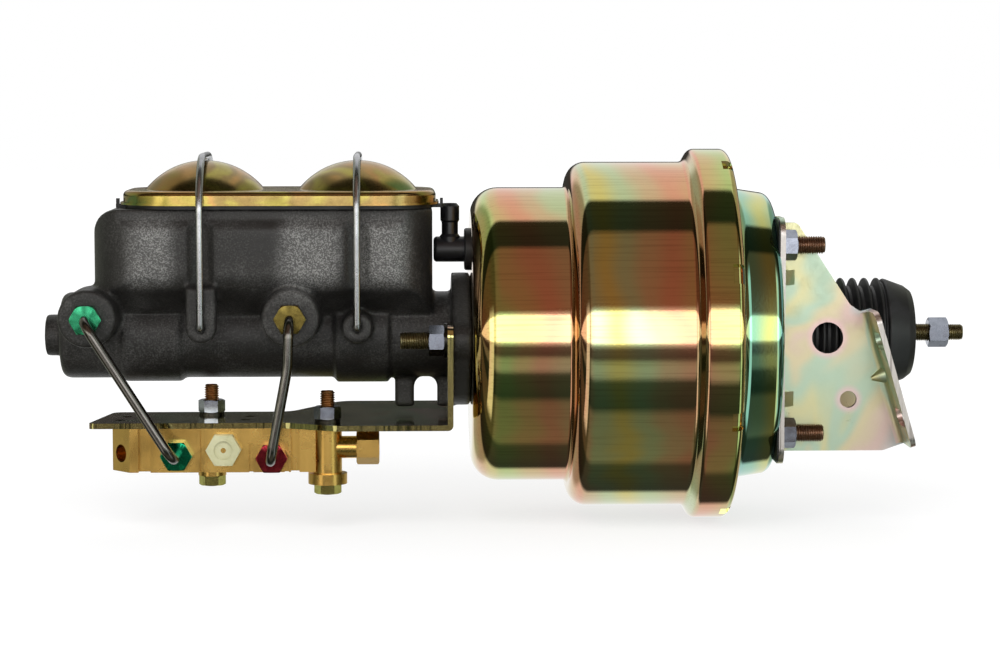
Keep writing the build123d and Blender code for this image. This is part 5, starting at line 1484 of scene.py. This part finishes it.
def look(eye: Point, aim: Point) -> Euler:
    """Turn of a camera or a lamp that looks from one point at another."""
    return (Vector(aim) - Vector(eye)).to_track_quat("-Z", "Y").to_euler()


@dataclass
class Studio:
    """Floor, soft lamps, reflector tunnel and camera.

    Attributes:
        eye: Place of the camera.
        aim: Point that the camera looks at.
        lit: Point that the lamps look at.
        lens: Focal length for a 36 mm sensor.
        floor: Height of the floor.
        tunnel_radius: Radius of the reflector tunnel.
        tunnel_reach: Half its length.
    """

    eye: Point = (-0.201, -1.500, 0.131)
    aim: Point = (-0.146, 0.0, 0.0)
    lit: Point = (-0.14, 0.0, 0.0)
    lens: float = 98.3
    floor: float = -0.1018
    tunnel_radius: float = 2.2
    tunnel_reach: float = 7.0

    def build(self) -> None:
        """Sets up the whole studio."""
        bpy.context.scene.view_settings.view_transform = "Standard"
        self.camera()
        self.world()
        self.ground()
        self.tunnel()
        self.lamps()

    def camera(self) -> None:
        """Puts the camera at the photograph's place."""
        camera = bpy.data.objects.new("camera", bpy.data.cameras.new("camera"))
        camera.data.lens = self.lens
        camera.data.sensor_width = 36.0
        camera.location = self.eye
        camera.rotation_euler = look(self.eye, self.aim)
        bpy.context.scene.collection.objects.link(camera)
        bpy.context.scene.camera = camera

    def world(self) -> None:
        """White to the camera and in reflections, softer as light."""
        world = bpy.data.worlds.new("studio")
        bpy.context.scene.world = world
        world.use_nodes = True
        bench = Bench(world.node_tree)
        rays = bench.place("ShaderNodeLightPath")
        camera, gloss, glass = (
            Signal(bench, rays.outputs[kind])
            for kind in ("Is Camera Ray", "Is Glossy Ray", "Is Transmission Ray")
        )
        seen = camera + gloss + glass
        strength = bench.between(seen, 0.0, 1.0, 0.55, 1.0)
        light = bench.place(
            "ShaderNodeBackground", None, {"Color": (1, 1, 1, 1), "Strength": strength}
        )
        bench.place("ShaderNodeOutputWorld", None, {"Surface": light.outputs[0]})

    def ground(self) -> None:
        """Lays the pale floor."""
        bpy.ops.object.select_all(action="DESELECT")
        bpy.ops.mesh.primitive_plane_add(size=14.0, location=(0, 0, self.floor))
        floor = bpy.context.active_object
        floor.name = "floor"
        material = bpy.data.materials.new("pale_floor")
        material.use_nodes = True
        bench = Bench(material.node_tree)
        rays = bench.place("ShaderNodeLightPath")
        dull = bench.place("ShaderNodeBsdfDiffuse", None, {"Color": (0.93, 0.93, 0.93, 1)})
        glow = bench.place("ShaderNodeEmission", None, {"Color": (1, 1, 1, 1), "Strength": 1.1})
        x, y, _ = bench.split(bench.where())
        away = ((x + 0.14) * (x + 0.14) + (y + 0.05) * (y + 0.05)) ** 0.5
        camera = Signal(bench, rays.outputs["Is Camera Ray"])
        share = camera * bench.between(away, 0.25, 0.85, 0.66, 1.0)
        mixed = bench.place(
            "ShaderNodeMixShader", None, {0: share, 1: dull.outputs[0], 2: glow.outputs[0]}
        )
        bench.place("ShaderNodeOutputMaterial", None, {"Surface": mixed.outputs[0]})
        floor.data.materials.append(material)
        floor.visible_glossy = False

    def tunnel(self) -> None:
        """Hangs a banded reflector round the booster's axis, seen only in gloss."""
        reach, radius = self.tunnel_reach, self.tunnel_radius
        outline = [(-reach, 0.01), (-reach, radius), (reach, radius), (reach, 0.01)]
        tunnel = lathe("reflector_tunnel", outline, 96)
        material = bpy.data.materials.new("reflector_bands")
        material.use_nodes = True
        bench = Bench(material.node_tree)
        x, y, z = bench.split(bench.where())
        angle = bench.signal("ShaderNodeMath", {"operation": "ARCTAN2"}, {0: z, 1: y * -1.0})
        share = angle / (2 * math.pi) + 0.5
        bands = (
            (-180, (0.98, 0.98, 0.98)), (-128, (0.9, 0.92, 0.9)), (-122, (0.05, 0.055, 0.05)),
            (-92, (0.07, 0.08, 0.06)), (-86, (0.24, 0.22, 0.16)), (-50, (0.2, 0.19, 0.14)),
            (-44, (0.04, 0.06, 0.045)), (-27, (0.06, 0.08, 0.06)), (-22, (0.42, 0.44, 0.4)),
            (-15, (0.4, 0.42, 0.36)), (-11, (0.1, 0.08, 0.07)), (-5, (0.16, 0.13, 0.12)),
            (-2, (1, 1, 1)), (19, (1, 1, 1)), (22, (0.3, 0.17, 0.12)), (72, (0.26, 0.17, 0.12)),
            (76, (0.03, 0.035, 0.025)), (100, (0.04, 0.045, 0.03)), (104, (0.92, 0.92, 0.9)),
            (165, (0.98, 0.98, 0.98)), (170, (0.05, 0.05, 0.045)), (180, (0.04, 0.04, 0.035)),
        )
        stops = [((degrees + 180) / 360, (*rgb, 1.0)) for degrees, rgb in bands]
        colour = bench.ramp(share, stops, "LINEAR")
        side = abs(x + 0.12)
        far = bench.between(side, 0.75, 1.15, 0.0, 0.75)
        dimmed = bench.mix(1.0, colour, (0.3, 0.32, 0.2, 1.0), "MULTIPLY")
        colour = bench.mix(far, colour, dimmed)
        strip = bench.between(abs(side - 2.0), 0.5, 0.75, 1.0, 0.0)
        low_left = bench.between(abs(angle + 0.42), 0.7, 0.95, 1.0, 0.0)
        left = bench.between(x, -0.5, 0.5, 1.0, 0.0) * low_left
        low_right = bench.between(abs(angle + 0.2), 1.1, 1.4, 1.0, 0.0)
        right = bench.between(x, -0.5, 0.5) * low_right
        colour = bench.mix(strip * left, colour, (1.0, 0.95, 0.88, 1.0))
        colour = bench.mix(strip * right, colour, (0.86, 1.0, 0.96, 1.0))
        beside = abs(angle - math.radians(8.5))
        bright = bench.between(beside, math.radians(9.5), math.radians(11.5), 2.9, 1.0)
        glow = bench.place("ShaderNodeEmission", None, {"Color": colour, "Strength": bright})
        bench.place("ShaderNodeOutputMaterial", None, {"Surface": glow.outputs[0]})
        tunnel.data.materials.append(material)
        for sight in ("camera", "diffuse", "transmission", "volume_scatter", "shadow"):
            setattr(tunnel, "visible_" + sight, False)

    def lamps(self) -> None:
        """Hangs the soft lamps."""
        for name, spot, size, power in (
            ("key", (-0.5, -1.3, 1.1), 1.1, 16.0),
            ("fill", (0.7, -1.2, 0.4), 1.0, 6.0),
            ("back", (0.0, 1.4, 1.2), 1.2, 9.0),
        ):
            lamp = bpy.data.objects.new(name, bpy.data.lights.new(name, "AREA"))
            lamp.data.size = size
            lamp.data.energy = power
            lamp.location = spot
            lamp.rotation_euler = look(spot, self.lit)
            lamp.visible_glossy = False
            bpy.context.scene.collection.objects.link(lamp)


def main() -> None:
    """Builds the studio and every sub-assembly."""
    logging.basicConfig(level=logging.INFO, format="%(message)s")
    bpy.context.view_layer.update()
    for assembly in (
        Studio(), BoosterShells(), Fasteners(), MasterCylinder(), CombinationValve(),
        FirewallBrackets(), Boot(), InputRod(), InnerParts(),
    ):
        assembly.build()
        log.info("built %s", type(assembly).__name__)


if __name__ == "__main__":
    main()
